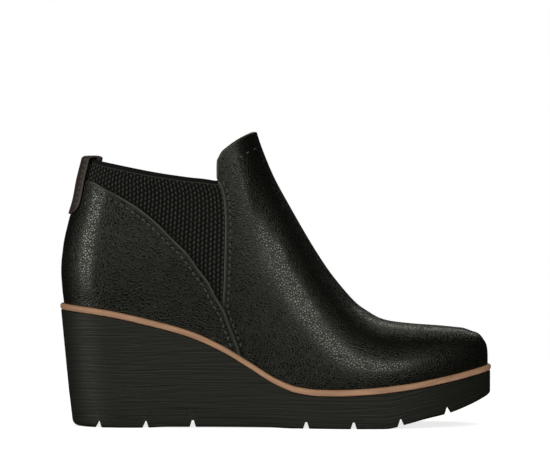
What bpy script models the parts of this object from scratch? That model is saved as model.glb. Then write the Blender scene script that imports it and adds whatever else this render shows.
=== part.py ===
"""Wedge ankle boot, the right shoe: a pull-on leather boot on a moulded wedge.

X runs from the heel to the toe, +Y is the inner side of the foot, Z is up and the floor is at 0.
Every surface is worked out in "along" (0 at the back of the welt, 1 at its toe end), in height,
and in "inset", the depth below the upper's outer skin. The origin is under the middle of the shoe.
"""

import bisect
import math
from collections import Counter

import bmesh
import bpy

# Sizes of the last and the sole, in metres
SHOE_LENGTH = 0.246  # over the welt, from heel to toe
BALL_WIDTH = 0.091  # over the welt at the ball of the foot
HEEL_WIDTH = 0.066  # over the welt at the heel
HEEL_HEIGHT = 0.0702  # floor to the welt's top at the back
BALL_HEIGHT = 0.0221  # floor to the welt's top under the ball
TOE_RISE = 0.0131  # how much higher the welt's top ends at the toe
TOE_SPRING = 0.0184  # floor to the outsole's lower front edge
ARCH_LIFT = 0.0005  # floor to the outsole under the arch
WELT_THICKNESS = 0.0037  # the tan board
WELT_MARGIN_TOE = 0.0014  # how far the welt stands out past the upper
WELT_MARGIN_HEEL = 0.0034
WELT_MARGIN_CHANGE = (0.40, 0.52)  # where along the shoe the one runs into the other
WELT_EDGE_SHARE = 0.22  # the rounding of the board's edge, a share of its thickness
WEDGE_BACK_LEAN = 0.0064  # how far the back of the wedge leans in, down to the floor
WEDGE_DRAFT_DEGREES = 2.5  # how much its sides lean in
WEDGE_SETBACK = 0.0004  # the wedge under the welt's edge
BACK_CORNER = 0.0045  # rounding of the wedge's lower back edge
TREAD_CORNER = 0.0014  # rounding of its other lower edges

# Sizes of the tread's cross grooves
GROOVE_PITCH = 0.0267
GROOVE_DEPTH = 0.0038
GROOVE_MOUTH = 0.0030
GROOVE_ROOF = 0.0010
HEEL_GROOVES = 3
HEEL_GROOVE_START = 0.0226  # from the back of the welt to the first groove
TOE_GROOVES = 4
TOE_GROOVE_START = 0.1401

# Sizes of the upper
SHAFT_HEIGHT = 0.0972  # welt's top at the back, to the peak of the front
TOE_BOX_HEIGHT = 0.0254  # the toe box over the welt
HEEL_LEAN = 0.0136  # how far the back leans forward at the collar
HEEL_ROUND_SEAT = 0.033  # length of the rounded heel, seen from above, at the seat
HEEL_ROUND_COLLAR = 0.045  # and at the collar
SIDE_BULGE = 0.0012  # how far the sides swell over the welt
UPPER_WALL = 0.0022  # leather and lining
LASTING_EDGE = 0.011  # the upper turned in over the midsole
LASTING_THICKNESS = 0.0020
GORE_WALL = 0.0014
GORE_RECESS = 0.0007  # the elastic lies below the leather's face
BACK_STRIP = 0.016  # leather left between the two gores, behind the tab
QUARTER_THICKNESS = 0.0011
QUARTER_LAP = 0.0035  # how far the quarter lies over the gore
INSOLE_THICKNESS = 0.0030
INSOLE_EDGE = 0.0009  # the bevel round its top
WINDOW_TIP = 0.004  # width of the gore's window at its lower end
TAB_WIDTH = 0.032
TAB_THICKNESS = 0.0012
TAB_DROP = 0.0315  # from the collar down to the tab's lower end, outside
TAB_INNER_DROP = 0.020  # and inside
TAB_CORNER = 0.0075  # how far up its rounded lower end reaches
TAB_END_SHARE = 0.62  # width of that end, a share of the tab's
GAP = 0.0003  # between pieces that meet

# How fine the surfaces are
ROWS = 12
FINE_TURN = 8  # stations round the heel and round the toe
HEEL_TURN_TO = 0.15  # where the close stations of the heel end, and where those of the toe start, along
TOE_TURN_FROM = 0.88
MIDDLE_STATIONS = (9, 15, 8)  # stations beside the gore, on the instep and on the vamp
EDGE_BEND = 0.3  # the place of the middle ring in the sole's rounded lower edge
ABOVE = 0.05  # how far a cutter reaches over the shoe

# The footbed, which is the welt's top: heel and toe are shares of the heel's and the toe's rise over the ball
FOOTBED = (
    ("along", "heel", "toe"),
    (0.00, 1.000, 0.00),
    (0.10, 0.936, 0.00),
    (0.20, 0.827, 0.00),
    (0.30, 0.686, 0.00),
    (0.38, 0.503, 0.00),
    (0.44, 0.318, 0.00),
    (0.50, 0.131, 0.00),
    (0.55, 0.033, 0.00),
    (0.60, 0.002, 0.00),
    (0.64, 0.000, 0.00),
    (0.70, 0.000, 0.05),
    (0.80, 0.000, 0.24),
    (0.90, 0.000, 0.58),
    (1.00, 0.000, 1.00),
)

# The tread: shares of the arch's lift and of the toe spring
TREAD = (
    ("along", "arch", "spring"),
    (0.00, 0.0, 0.00),
    (0.19, 0.0, 0.00),
    (0.25, 1.0, 0.00),
    (0.48, 1.0, 0.00),
    (0.54, 0.0, 0.00),
    (0.75, 0.0, 0.00),
    (0.80, 0.0, 0.14),
    (0.84, 0.0, 0.28),
    (0.90, 0.0, 0.46),
    (0.95, 0.0, 0.70),
    (1.00, 0.0, 1.00),
)

# The plan of the welt: heel and ball are shares of half the heel's and the ball's width,
# bend is the centre line's place towards the inner side, a share of the ball's width
PLAN = (
    ("along", "heel", "ball", "bend"),
    (0.00, 1.00, 0.000, 0.000),
    (0.18, 0.97, 0.000, 0.000),
    (0.30, 0.75, 0.115, -0.015),
    (0.38, 0.50, 0.295, -0.028),
    (0.45, 0.30, 0.470, -0.036),
    (0.55, 0.08, 0.745, -0.035),
    (0.66, 0.00, 0.965, -0.018),
    (0.74, 0.00, 1.000, 0.002),
    (0.80, 0.00, 0.985, 0.018),
    (0.88, 0.00, 0.960, 0.042),
    (0.95, 0.00, 0.930, 0.062),
    (1.00, 0.00, 0.900, 0.070),
)
TOE_ROUND_FROM = 0.70  # where the toe's rounding starts, along
TOE_ROUNDNESS = 2.3
HEEL_ROUNDNESS = 2.15

# The upper's cross sections: fullness is the power of the rounded section (2 is an ellipse),
# crest is the highest line's place towards the inner side, a share of the ball's width
SECTION = (
    ("along", "fullness", "crest"),
    (0.00, 2.0, 0.000),
    (0.35, 2.1, 0.000),
    (0.50, 2.1, 0.010),
    (0.62, 1.95, 0.025),
    (0.75, 2.1, 0.035),
    (0.90, 2.35, 0.055),
    (1.00, 2.5, 0.070),
)

# The front line of the upper over the footbed: shares of the toe box's height and of the shaft's rise over it
CREST = (
    ("along", "toe", "shaft"),
    (0.4330, 1.00, 1.185),
    (0.4557, 1.00, 1.000),
    (0.4752, 1.00, 0.900),
    (0.4984, 1.00, 0.807),
    (0.5285, 1.00, 0.711),
    (0.5606, 1.00, 0.600),
    (0.5947, 1.00, 0.478),
    (0.6325, 1.00, 0.352),
    (0.6801, 1.00, 0.220),
    (0.7118, 1.00, 0.159),
    (0.7492, 1.00, 0.106),
    (0.8049, 1.00, 0.070),
    (0.8797, 1.00, 0.026),
    (0.9167, 1.00, 0.000),
    (0.9354, 0.94, 0.000),
    (0.9541, 0.835, 0.000),
    (0.9728, 0.720, 0.000),
    (0.9874, 0.500, 0.000),
    (0.9915, 0.358, 0.000),
    (0.9927, 0.217, 0.000),
)
PEAK_ALONG = 0.4557

# The back of the upper: lean is a share of HEEL_LEAN, up a share of the shaft's height
BACK = (
    ("up", "lean", "breadth"),
    (0.00, 0.12, 1.000),
    (0.08, 0.05, 1.010),
    (0.19, 0.00, 1.010),
    (0.33, 0.09, 0.990),
    (0.47, 0.31, 0.960),
    (0.61, 0.60, 0.940),
    (0.72, 0.75, 0.935),
    (0.86, 1.00, 0.940),
    (1.00, 1.20, 0.950),
    (1.40, 1.60, 0.960),
)
BACK_FADE = 0.115  # how far forward the back's lean and the ankle's narrowing reach

# The collar and the seams, seen from the side: up is a share of the shaft's height over the heel seat
COLLAR = (
    ("along", "up"),
    (-0.10, 0.874),
    (0.053, 0.846),
    (0.083, 0.828),
    (0.159, 0.790),
    (0.228, 0.759),
    (0.302, 0.733),
    (0.339, 0.724),
    (0.367, 0.713),
)
FRONT_PANEL_TOP = (
    ("along", "up"),
    (0.3680, 0.713),
    (0.3680, 0.821),
    (0.3711, 0.844),
    (0.3785, 0.879),
    (0.3931, 0.911),
    (0.4138, 0.948),
    (0.4346, 0.976),
    (0.4557, 1.000),
    (0.4700, 1.014),
)
GORE_FRONT = (
    ("along", "up"),
    (0.3680, 0.713),
    (0.3805, 0.637),
    (0.3858, 0.511),
    (0.3858, 0.376),
    (0.3837, 0.149),
    (0.3815, 0.042),
    (0.3790, -0.030),
)
QUARTER_EDGE = (
    ("along", "up"),
    (-0.060, 0.745),
    (0.063, 0.711),
    (0.102, 0.670),
    (0.174, 0.565),
    (0.220, 0.474),
    (0.259, 0.376),
    (0.295, 0.285),
    (0.321, 0.192),
    (0.343, 0.121),
    (0.360, 0.035),
    (0.379, -0.044),
    (0.3915, -0.128),
    (0.401, -0.186),
    (0.412, -0.265),
    (0.430, -0.420),
)


def column(table, name):
    """One named column of a table."""
    place = table[0].index(name)
    return [row[place] for row in table[1:]]


def slopes(xs, ys):
    """Slopes for a curve through the points that never swings past them."""
    steps = [(ys[i + 1] - ys[i]) / (xs[i + 1] - xs[i]) for i in range(len(xs) - 1)]
    inner = []
    for before, after in zip(steps, steps[1:]):
        level = before * after <= 0
        inner.append(0.0 if level else 2 * before * after / (before + after))
    return [steps[0]] + inner + [steps[-1]]


def read(table, name, at, key="along"):
    """The column called name, read smoothly at a value of the key column."""
    xs = column(table, key)
    ys = column(table, name)
    at = min(max(at, xs[0]), xs[-1])
    i = min(bisect.bisect_right(xs, at), len(xs) - 1) - 1
    tilt = slopes(xs, ys)
    width = xs[i + 1] - xs[i]
    t = (at - xs[i]) / width
    return (
        ys[i] * (1 + 2 * t) * (1 - t) ** 2
        + tilt[i] * width * t * (1 - t) ** 2
        + ys[i + 1] * t * t * (3 - 2 * t)
        - tilt[i + 1] * width * t * t * (1 - t)
    )


def smooth_line(points, pieces):
    """A curve through points (x, z), each stretch cut into equal pieces."""
    ends = [points[0]] + list(points) + [points[-1]]
    line = []
    for a, b, c, d in zip(ends, ends[1:], ends[2:], ends[3:]):
        for k in range(pieces):
            t = k / pieces
            line.append(
                tuple(
                    b[n]
                    + 0.5 * t * (c[n] - a[n])
                    + t * t * (a[n] - 2.5 * b[n] + 2 * c[n] - 0.5 * d[n])
                    + t * t * t * (1.5 * b[n] - 1.5 * c[n] + 0.5 * d[n] - 0.5 * a[n])
                    for n in (0, 1)
                )
            )
    return line + [tuple(points[-1])]


def footbed(x):
    """Height of the welt's top at a distance x from the back."""
    along = x / SHOE_LENGTH
    heel = (HEEL_HEIGHT - BALL_HEIGHT) * read(FOOTBED, "heel", along)
    return BALL_HEIGHT + heel + TOE_RISE * read(FOOTBED, "toe", along)


def tread(x):
    """Height of the outsole's underside."""
    along = x / SHOE_LENGTH
    return ARCH_LIFT * read(TREAD, "arch", along) + TOE_SPRING * read(TREAD, "spring", along)


def closing(along, round_length, roundness=HEEL_ROUNDNESS):
    """How far the plan has opened out, from 0 at its two ends to 1 between them."""
    heel = min(along * SHOE_LENGTH / round_length, 1.0)
    toe = max(along - TOE_ROUND_FROM, 0.0) / (1 - TOE_ROUND_FROM)
    open_heel = max(1 - (1 - heel) ** roundness, 0.0) ** (1 / roundness)
    open_toe = max(1 - toe**TOE_ROUNDNESS, 0.0) ** (1 / TOE_ROUNDNESS)
    return open_heel * open_toe


def half_width(along):
    """Half the welt's width before its ends are rounded."""
    return HEEL_WIDTH / 2 * read(PLAN, "heel", along) + BALL_WIDTH / 2 * read(PLAN, "ball", along)


def plan_shift():
    """What centres the whole plan on the middle of the shoe."""
    reach = [0.0, 0.0]
    for step in range(101):
        along = step / 100
        half = half_width(along) * closing(along, HEEL_ROUND_SEAT)
        bend = BALL_WIDTH * read(PLAN, "bend", along)
        reach = [max(reach[0], half - bend), max(reach[1], half + bend)]
    return (reach[0] - reach[1]) / 2


SHIFT = plan_shift()


def centre_line(along):
    return BALL_WIDTH * read(PLAN, "bend", along) + SHIFT


def margin(along):
    """How far the upper's foot lies inside the welt's edge."""
    start, end = WELT_MARGIN_CHANGE
    toe_part = min(max((along - start) / (end - start), 0.0), 1.0)
    return WELT_MARGIN_HEEL + (WELT_MARGIN_TOE - WELT_MARGIN_HEEL) * toe_part


def make_stations():
    """Places along the shoe that every ring uses, close together round the heel, the instep and the toe."""
    turn = [1 - math.cos(math.pi / 2 * k / FINE_TURN) for k in range(FINE_TURN)]
    stations = [HEEL_TURN_TO * t for t in turn]
    stops = (HEEL_TURN_TO, column(CREST, "along")[0], TOE_ROUND_FROM, TOE_TURN_FROM)
    for start, end, count in zip(stops, stops[1:], MIDDLE_STATIONS):
        stations += [start + (end - start) * k / count for k in range(count)]
    stations.append(TOE_TURN_FROM)
    return stations + [1 - (1 - TOE_TURN_FROM) * t for t in reversed(turn)]


STATIONS = make_stations()


def mesh_object(name, points, faces, colour, roughness):
    """A closed solid from points and faces, moved so that the shoe's middle is the origin."""
    mesh = bpy.data.meshes.new(name)
    mesh.from_pydata([(x - SHOE_LENGTH / 2, y, z) for x, y, z in points], [], faces)
    work = bmesh.new()
    work.from_mesh(mesh)
    bmesh.ops.remove_doubles(work, verts=work.verts, dist=1e-7)
    bmesh.ops.recalc_face_normals(work, faces=work.faces)
    work.to_mesh(mesh)
    work.free()
    mesh.shade_smooth()
    mesh.set_sharp_from_angle(angle=math.radians(35))
    solid = bpy.data.objects.new(name, mesh)
    bpy.context.collection.objects.link(solid)
    material = bpy.data.materials.new(name)
    material.use_nodes = True
    shader = material.node_tree.nodes["Principled BSDF"]
    shader.inputs["Base Color"].default_value = (*colour, 1.0)
    shader.inputs["Roughness"].default_value = roughness
    material.diffuse_color = (*colour, 1.0)
    mesh.materials.append(material)
    return solid


def ring_faces(rings):
    """Quads between closed rings of equally many points, as rows of point numbers."""
    faces = []
    for low, high in zip(rings, rings[1:]):
        count = len(low)
        for i in range(count):
            j = (i + 1) % count
            faces.append((low[i], low[j], high[j], high[i]))
    return faces


def cap_faces(ring):
    """Strips across a ring that runs from heel to toe on the outer side and back on the inner one."""
    half = len(ring) // 2
    faces = [(ring[0], ring[1], ring[-1]), (ring[half - 1], ring[half], ring[half + 1])]
    for k in range(1, half - 1):
        faces.append((ring[k], ring[k + 1], ring[-k - 1], ring[-k]))
    return faces


def plan_ring(back, front, inset, height, round_length=HEEL_ROUND_SEAT):
    """A ring of the plan between x back and x front, drawn in by inset(along), at height(x)."""
    outer = []
    inner = []
    for along in STATIONS:
        x = back + (front - back) * along
        half = (half_width(along) - inset(along)) * closing(along, round_length)
        outer.append((x, centre_line(along) - half, height(x)))
        inner.append((x, centre_line(along) + half, height(x)))
    return outer + inner[-2:0:-1]


def plate(name, rings, colour, roughness):
    """A solid from rings that are stacked from its underside to its top."""
    points = [point for ring in rings for point in ring]
    count = len(rings[0])
    numbers = [list(range(k * count, (k + 1) * count)) for k in range(len(rings))]
    faces = ring_faces(numbers) + cap_faces(numbers[0]) + cap_faces(numbers[-1])
    return mesh_object(name, points, faces, colour, roughness)


def add_cut(solid, cutter, operation="DIFFERENCE"):
    cut = solid.modifiers.new(cutter.name, "BOOLEAN")
    cut.operation = operation
    cut.solver = "EXACT"
    cut.object = cutter


def side_prism(name, outline, near, far):
    """A cutter: an outline seen from the side, as points (x, z), drawn out from y near to y far."""
    count = len(outline)
    points = [(x, near, z) for x, z in outline] + [(x, far, z) for x, z in outline]
    faces = [tuple(range(count)), tuple(range(2 * count - 1, count - 1, -1))]
    faces += [(k, (k + 1) % count, count + (k + 1) % count, count + k) for k in range(count)]
    prism = mesh_object(name, points, faces, (0.5, 0.5, 0.5), 0.5)
    prism.hide_render = True
    prism.display_type = "WIRE"
    return prism


def make_outsole():
    """The wedge and platform in one moulding, with cross grooves in its tread."""

    def top(x):
        return footbed(x) - WELT_THICKNESS - GAP

    def ring(share, tuck):
        """A ring part of the way up the side: share 0 at the tread, 1 at the top.
        tuck is how much of the lower edge's rounding it is drawn in by."""
        back = WEDGE_SETBACK + WEDGE_BACK_LEAN * (1 - share) + BACK_CORNER * tuck
        front = SHOE_LENGTH - WEDGE_SETBACK - TREAD_CORNER * tuck

        def draft(along):
            x = along * SHOE_LENGTH
            tall = (top(x) - tread(x)) * (1 - share)
            return WEDGE_SETBACK + math.tan(math.radians(WEDGE_DRAFT_DEGREES)) * tall + TREAD_CORNER * tuck

        return plan_ring(back, front, draft, lambda x: tread(x) + (top(x) - tread(x)) * share)

    def lifted(ring_points, part):
        """Raises a ring by a part of the lower edge's rounding, more at the back than along the sides."""
        raised = []
        for x, y, z in ring_points:
            back_part = max(1 - x / HEEL_ROUND_SEAT, 0.0)
            raised.append((x, y, z + part * (TREAD_CORNER + (BACK_CORNER - TREAD_CORNER) * back_part)))
        return raised

    flat = ring(0.0, 1.0)
    bend = lifted(ring(0.0, EDGE_BEND), EDGE_BEND)
    side = lifted(ring(0.0, 0.0), 1.0)
    rings = [flat, bend, side, ring(1 / 2, 0.0), ring(1.0, 0.0)]
    outsole = plate("outsole", rings, (0.021, 0.021, 0.018), 0.62)
    starts = [HEEL_GROOVE_START + GROOVE_PITCH * k for k in range(HEEL_GROOVES)]
    starts += [TOE_GROOVE_START + GROOVE_PITCH * k for k in range(TOE_GROOVES)]
    for number, x in enumerate(starts):
        floor = tread(x)
        outline = (
            (x - GROOVE_MOUTH, floor - GROOVE_DEPTH),
            (x + GROOVE_MOUTH, floor - GROOVE_DEPTH),
            (x + GROOVE_ROOF / 2, floor + GROOVE_DEPTH),
            (x - GROOVE_ROOF / 2, floor + GROOVE_DEPTH),
        )
        add_cut(outsole, side_prism(f"groove_cutter_{number + 1}", outline, -BALL_WIDTH, BALL_WIDTH))


def make_midsole():
    """The tan board whose rounded edge shows all round as the welt."""
    edge = WELT_THICKNESS * WELT_EDGE_SHARE

    def ring(inset, height):
        return plan_ring(inset, SHOE_LENGTH - inset, lambda along: inset, height)

    rings = [
        ring(edge, lambda x: footbed(x) - WELT_THICKNESS),
        ring(0.0, lambda x: footbed(x) - WELT_THICKNESS + edge),
        ring(0.0, lambda x: footbed(x) - edge),
        ring(edge, lambda x: footbed(x)),
    ]
    plate("midsole", rings, (0.33, 0.19, 0.12), 0.6)


def lean_at(z):
    """How far forward the upper's back lies at height z, measured from where it meets the welt."""
    up = (z - HEEL_HEIGHT) / SHAFT_HEIGHT
    seat = column(BACK, "lean")[0]
    return HEEL_LEAN * (read(BACK, "lean", max(up, 0.0), "up") - seat)


def fade(x):
    return max(1 - x / BACK_FADE, 0.0) ** 2


def peak_height():
    return HEEL_HEIGHT + SHAFT_HEIGHT


def crest_points():
    """The upper's front line, seen from the side."""
    rise = peak_height() - footbed(PEAK_ALONG * SHOE_LENGTH) - TOE_BOX_HEIGHT
    line = []
    for along, toe, shaft in CREST[1:]:
        x = along * SHOE_LENGTH
        line.append((x, footbed(x) + TOE_BOX_HEIGHT * toe + rise * shaft))
    return smooth_line(line, 6)


CREST_LINE = crest_points()
SKINS = {}


def crest_at_inset(inset):
    """The front line moved in by inset, kept so that it is worked out once."""
    if inset not in SKINS:
        moved = []
        for k, (x, z) in enumerate(CREST_LINE):
            ahead = CREST_LINE[min(k + 1, len(CREST_LINE) - 1)]
            behind = CREST_LINE[max(k - 1, 0)]
            dx = ahead[0] - behind[0]
            dz = ahead[1] - behind[1]
            size = math.hypot(dx, dz)
            moved.append((x + dz / size * inset, z - dx / size * inset))
        kept = [moved[0]]
        for point in moved[1:]:
            if point[0] > kept[-1][0] + 1e-6:
                kept.append(point)
        SKINS[inset] = ([p[0] for p in kept], [p[1] for p in kept])
    return SKINS[inset]


def crest_height(x, inset):
    """Height of the front line at x, going on steeply behind the top of the front."""
    xs, zs = crest_at_inset(inset)
    if x <= xs[0]:
        slope = (zs[1] - zs[0]) / (xs[1] - xs[0])
        return zs[0] + (x - xs[0]) * slope
    i = min(bisect.bisect_right(xs, x), len(xs) - 1)
    t = (x - xs[i - 1]) / (xs[i] - xs[i - 1])
    return zs[i - 1] + min(t, 1.0) * (zs[i] - zs[i - 1])


def skin_ends(inset):
    """Where the skin starts at the back of the heel seat, and ends at the toe."""
    back = WELT_MARGIN_HEEL + inset
    return back, crest_at_inset(inset)[0][-1]


def skin_place(along, z, side, inset):
    """A point of the upper's skin. side is -1 for the outer side and 1 for the inner one."""
    back, front = skin_ends(inset)
    x = back + (front - back) * along
    up = min(max((z - HEEL_HEIGHT) / SHAFT_HEIGHT, 0.0), 1.0)
    base = footbed(x) + GAP
    crest = max(crest_height(x, inset), base + 1e-6)
    t = min(max((z - base) / (crest - base), 0.0), 1.0)
    power = read(SECTION, "fullness", along)
    shape = max(1 - t**power, 0.0) ** (1 / power)
    turn = HEEL_ROUND_SEAT + (HEEL_ROUND_COLLAR - HEEL_ROUND_SEAT) * up
    narrow = 1 + (read(BACK, "breadth", up, "up") - 1) * min(2 * fade(x), 1.0)
    bulge = SIDE_BULGE * 4 * t * (1 - t)
    half = ((half_width(along) - margin(along)) * narrow - inset + bulge) * closing(along, turn)
    edge = centre_line(along) + side * half
    ridge = BALL_WIDTH * read(SECTION, "crest", along) + SHIFT
    return x + lean_at(z) * fade(x), ridge + (edge - ridge) * shape, z


TOP_AT_BACK = 0.95  # how high the uncut skin reaches at the back, a share of the shaft's height


def skin_column(along, side, inset, lift):
    """Points up one column of the skin, from lift over the midsole to the front line or over the collar."""
    back, front = skin_ends(inset)
    x = back + (front - back) * along
    base = footbed(x) + GAP
    crest = crest_height(x, inset)
    first_open = crest_at_inset(inset)[0][0]
    top = crest
    if x < first_open:
        back_top = HEEL_HEIGHT + SHAFT_HEIGHT * TOP_AT_BACK
        peak = crest_height(first_open, inset)
        top = back_top + (peak - back_top) * (x - back) / (first_open - back)
    bottom = base + lift
    reach = math.asin(min((top - base) / (crest - base), 1.0))
    points = []
    for row in range(ROWS + 1):
        climb = math.sin(reach * row / ROWS) / math.sin(reach)
        points.append(skin_place(along, bottom + (top - bottom) * climb, side, inset))
    return points


def skin_loops(inset, lift):
    """The skin as closed loops, each round the shoe, from the lowest to the highest."""
    outer = [skin_column(along, -1, inset, lift) for along in STATIONS]
    inner = [skin_column(along, 1, inset, lift) for along in STATIONS]
    columns = outer + inner[-2:0:-1]
    return [[points[row] for points in columns] for row in range(ROWS + 1)]


def lasting_loop(inset, lift):
    """A loop of the edge that is turned in under the foot."""
    back, front = skin_ends(0.0)

    def drawn_in(along):
        return margin(along) + inset

    return plan_ring(back + inset, front - inset, drawn_in, lambda x: footbed(x) + GAP + lift)


def shell(name, loops, colour, roughness):
    """A solid whose cross section is a closed round of loops. Where the skin has closed over the
    front line, its two sides meet and the strip between its two faces falls away."""
    points = [point for loop in loops for point in loop]
    count = len(loops[0])
    numbers = [list(range(k * count, (k + 1) * count)) for k in range(len(loops))]
    faces = ring_faces(numbers + [numbers[0]])
    corners = [frozenset(tuple(round(c, 7) for c in points[n]) for n in face) for face in faces]
    twice = {key for key, times in Counter(corners).items() if times > 1}
    open_faces = [face for face, key in zip(faces, corners) if len(key) > 2 and key not in twice]
    return mesh_object(name, points, open_faces, colour, roughness)


def at_side(row):
    """A seam's point (x, z) from its shares."""
    return row[0] * SHOE_LENGTH, HEEL_HEIGHT + row[1] * SHAFT_HEIGHT


def seam_line(table, pieces=3):
    return smooth_line([at_side(row) for row in table[1:]], pieces)


def lowered(line, depth):
    """A seam line moved down by depth, square to itself."""
    moved = []
    for k, (x, z) in enumerate(line):
        ahead = line[min(k + 1, len(line) - 1)]
        behind = line[max(k - 1, 0)]
        size = math.hypot(ahead[0] - behind[0], ahead[1] - behind[1])
        moved.append(
            (x + (ahead[1] - behind[1]) / size * depth, z - (ahead[0] - behind[0]) / size * depth)
        )
    return moved


def window_outline(clear):
    """The gore's place, seen from the side, drawn in by clear. Its foot lies under the quarter."""
    tip = at_side(GORE_FRONT[-1])
    front = [(x - clear, z) for x, z in seam_line(GORE_FRONT)[1:-1]]
    front.append((tip[0] - clear, tip[1] + 3 * clear))
    edge = seam_line(QUARTER_EDGE)
    foot = lowered(edge, QUARTER_LAP - clear)
    foot = [low for low, (x, z) in zip(foot, edge) if x < tip[0] - WINDOW_TIP and z > tip[1]]
    high = peak_height() + ABOVE
    return [(foot[0][0], high), (front[0][0], high)] + front + foot[::-1]


def collar_outline():
    """Everything above the collar, seen from the side."""
    line = seam_line(COLLAR) + seam_line(FRONT_PANEL_TOP)[1:]
    high = peak_height() + ABOVE
    return line + [(line[-1][0] + 0.02, line[-1][1]), (line[-1][0] + 0.02, high), (line[0][0], high)]


def quarter_outline():
    """Everything behind and below the quarter's edge, seen from the side."""
    line = seam_line(QUARTER_EDGE)
    return line + [(line[-1][0], 0.0), (line[0][0], 0.0)]


def make_upper():
    """The upper: one hollow wall on the last, turned in below, cut to the collar and to the gores."""
    outside = skin_loops(0.0, 0.0)
    inside = skin_loops(UPPER_WALL, LASTING_THICKNESS)
    turned = [
        lasting_loop(UPPER_WALL + LASTING_EDGE, LASTING_THICKNESS),
        lasting_loop(UPPER_WALL + LASTING_EDGE, 0.0),
    ]
    loops = outside + inside[::-1] + turned
    upper = shell("upper", loops, (0.018, 0.018, 0.017), 0.45)
    wide = BALL_WIDTH
    add_cut(upper, side_prism("collar_cutter", collar_outline(), -wide, wide))
    outline = window_outline(0.0)
    add_cut(upper, side_prism("window_cutter_outer", outline, -wide, -BACK_STRIP / 2))
    add_cut(upper, side_prism("window_cutter_inner", outline, BACK_STRIP / 2, wide))


def skin_band(name, depth, inset, colour, roughness):
    """A plain shell between two depths of the upper's own form."""
    outside = skin_loops(inset, 0.0)
    inside = skin_loops(inset + depth, 0.0)
    return shell(name, outside + inside[::-1], colour, roughness)


def make_gores():
    """The two elastic inserts, cut from a band a little below the leather's face."""
    outline = window_outline(GAP)
    top_edge = [point for point in seam_line(COLLAR) if point[0] < outline[1][0]]
    gore_outline = top_edge + outline[2:]
    for name, near, far in (
        ("gore_outer", -BALL_WIDTH, -BACK_STRIP / 2 - GAP),
        ("gore_inner", BACK_STRIP / 2 + GAP, BALL_WIDTH),
    ):
        gore = skin_band(name, GORE_WALL, GORE_RECESS, (0.008, 0.008, 0.008), 0.9)
        add_cut(gore, side_prism(name + "_cutter", gore_outline, near, far), "INTERSECT")


def make_quarter():
    """The heel overlay, round the heel from side to side."""
    inset = -GAP - QUARTER_THICKNESS
    quarter = skin_band("quarter", QUARTER_THICKNESS, inset, (0.022, 0.022, 0.020), 0.45)
    cutter = side_prism("quarter_cutter", quarter_outline(), -BALL_WIDTH, BALL_WIDTH)
    add_cut(quarter, cutter, "INTERSECT")


def make_insole():
    """The footbed board, with a boss that fills the space inside the lasting edge."""
    back, front = skin_ends(0.0)
    board = UPPER_WALL + 2 * GAP
    boss = UPPER_WALL + LASTING_EDGE + GAP

    def ring(inset, lift):
        def drawn_in(along):
            return margin(along) + inset

        return plan_ring(back + inset, front - inset, drawn_in, lambda x: footbed(x) + lift)

    step = GAP + LASTING_THICKNESS + GAP
    rings = [
        ring(boss, GAP),
        ring(boss, step),
        ring(board, step),
        ring(board, step + INSOLE_THICKNESS - INSOLE_EDGE),
        ring(board + INSOLE_EDGE, step + INSOLE_THICKNESS),
    ]
    plate("insole", rings, (0.03, 0.028, 0.026), 0.8)


def back_point(y, z, inset):
    """The point of the upper's back at y and z, found by halving."""
    low = 0.0
    high = 0.15
    side = 1 if y > 0 else -1
    for _ in range(40):
        middle = (low + high) / 2
        if abs(skin_place(middle, z, side, inset)[1]) < abs(y):
            low = middle
        else:
            high = middle
    return skin_place(low, z, side, inset)[0], y, z


def make_heel_tab():
    """The strip that is folded over the back of the collar."""
    collar = at_side(COLLAR[2])[1]
    inner_face = -(GAP + QUARTER_THICKNESS + GAP)
    outer_face = inner_face - TAB_THICKNESS
    inside_face = UPPER_WALL + GAP
    low = collar - TAB_DROP
    over = collar + GAP
    inside_low = collar - TAB_INNER_DROP
    roof = over + TAB_THICKNESS
    corner = [TAB_CORNER * (1 - math.cos(math.pi / 2 * k / 4)) for k in range(5)]
    steps = [rise / (roof - low) for rise in corner]
    steps += [steps[-1] + (1 - steps[-1]) * k / 3 for k in range(1, 4)]
    inner_steps = (0.0, 0.5, 1.0)
    close = [(low + (over - low) * s, inner_face) for s in steps]
    close += [(over + (inside_low - over) * s, inside_face) for s in inner_steps]
    wide = [(low + (roof - low) * s, outer_face) for s in steps]
    wide += [(roof + (inside_low - roof) * s, inside_face + TAB_THICKNESS) for s in inner_steps]
    shares = [TAB_END_SHARE + (1 - TAB_END_SHARE) * math.sin(math.pi / 2 * k / 4) for k in range(5)]
    shares += [1.0] * (len(close) - len(shares))
    spread = [math.sin(math.pi / 2 * k / 5) for k in range(-5, 6)]
    points = []
    for face in (close, wide):
        for (z, inset), share in zip(face, shares):
            points += [back_point(TAB_WIDTH / 2 * share * s, z, inset) for s in spread]
    across = len(spread)
    tall = len(close)
    faces = []
    for layer in (0, 1):
        for r in range(tall - 1):
            for c in range(across - 1):
                a = (layer * tall + r) * across + c
                faces.append((a, a + 1, a + across + 1, a + across))
    border = [(0, c) for c in range(across)]
    border += [(r, across - 1) for r in range(1, tall)]
    border += [(tall - 1, c) for c in range(across - 2, -1, -1)]
    border += [(r, 0) for r in range(tall - 2, 0, -1)]
    for (r, c), (r2, c2) in zip(border, border[1:] + border[:1]):
        a = r * across + c
        b = r2 * across + c2
        faces.append((a, b, b + tall * across, a + tall * across))
    mesh_object("heel_tab", points, faces, (0.042, 0.027, 0.027), 0.55)


for old in list(bpy.data.objects):
    bpy.data.objects.remove(old)

make_outsole()
make_midsole()
make_insole()
make_upper()
make_quarter()
make_gores()
make_heel_tab()
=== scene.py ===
"""The looks of a wedge ankle boot: leather panels, knitted gores, tan welt and streaked wedge,
in the frame of its solids. X runs to the toe, -Y is the outer side, which faces the camera."""

import bisect
import math
import random
from collections import Counter

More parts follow.
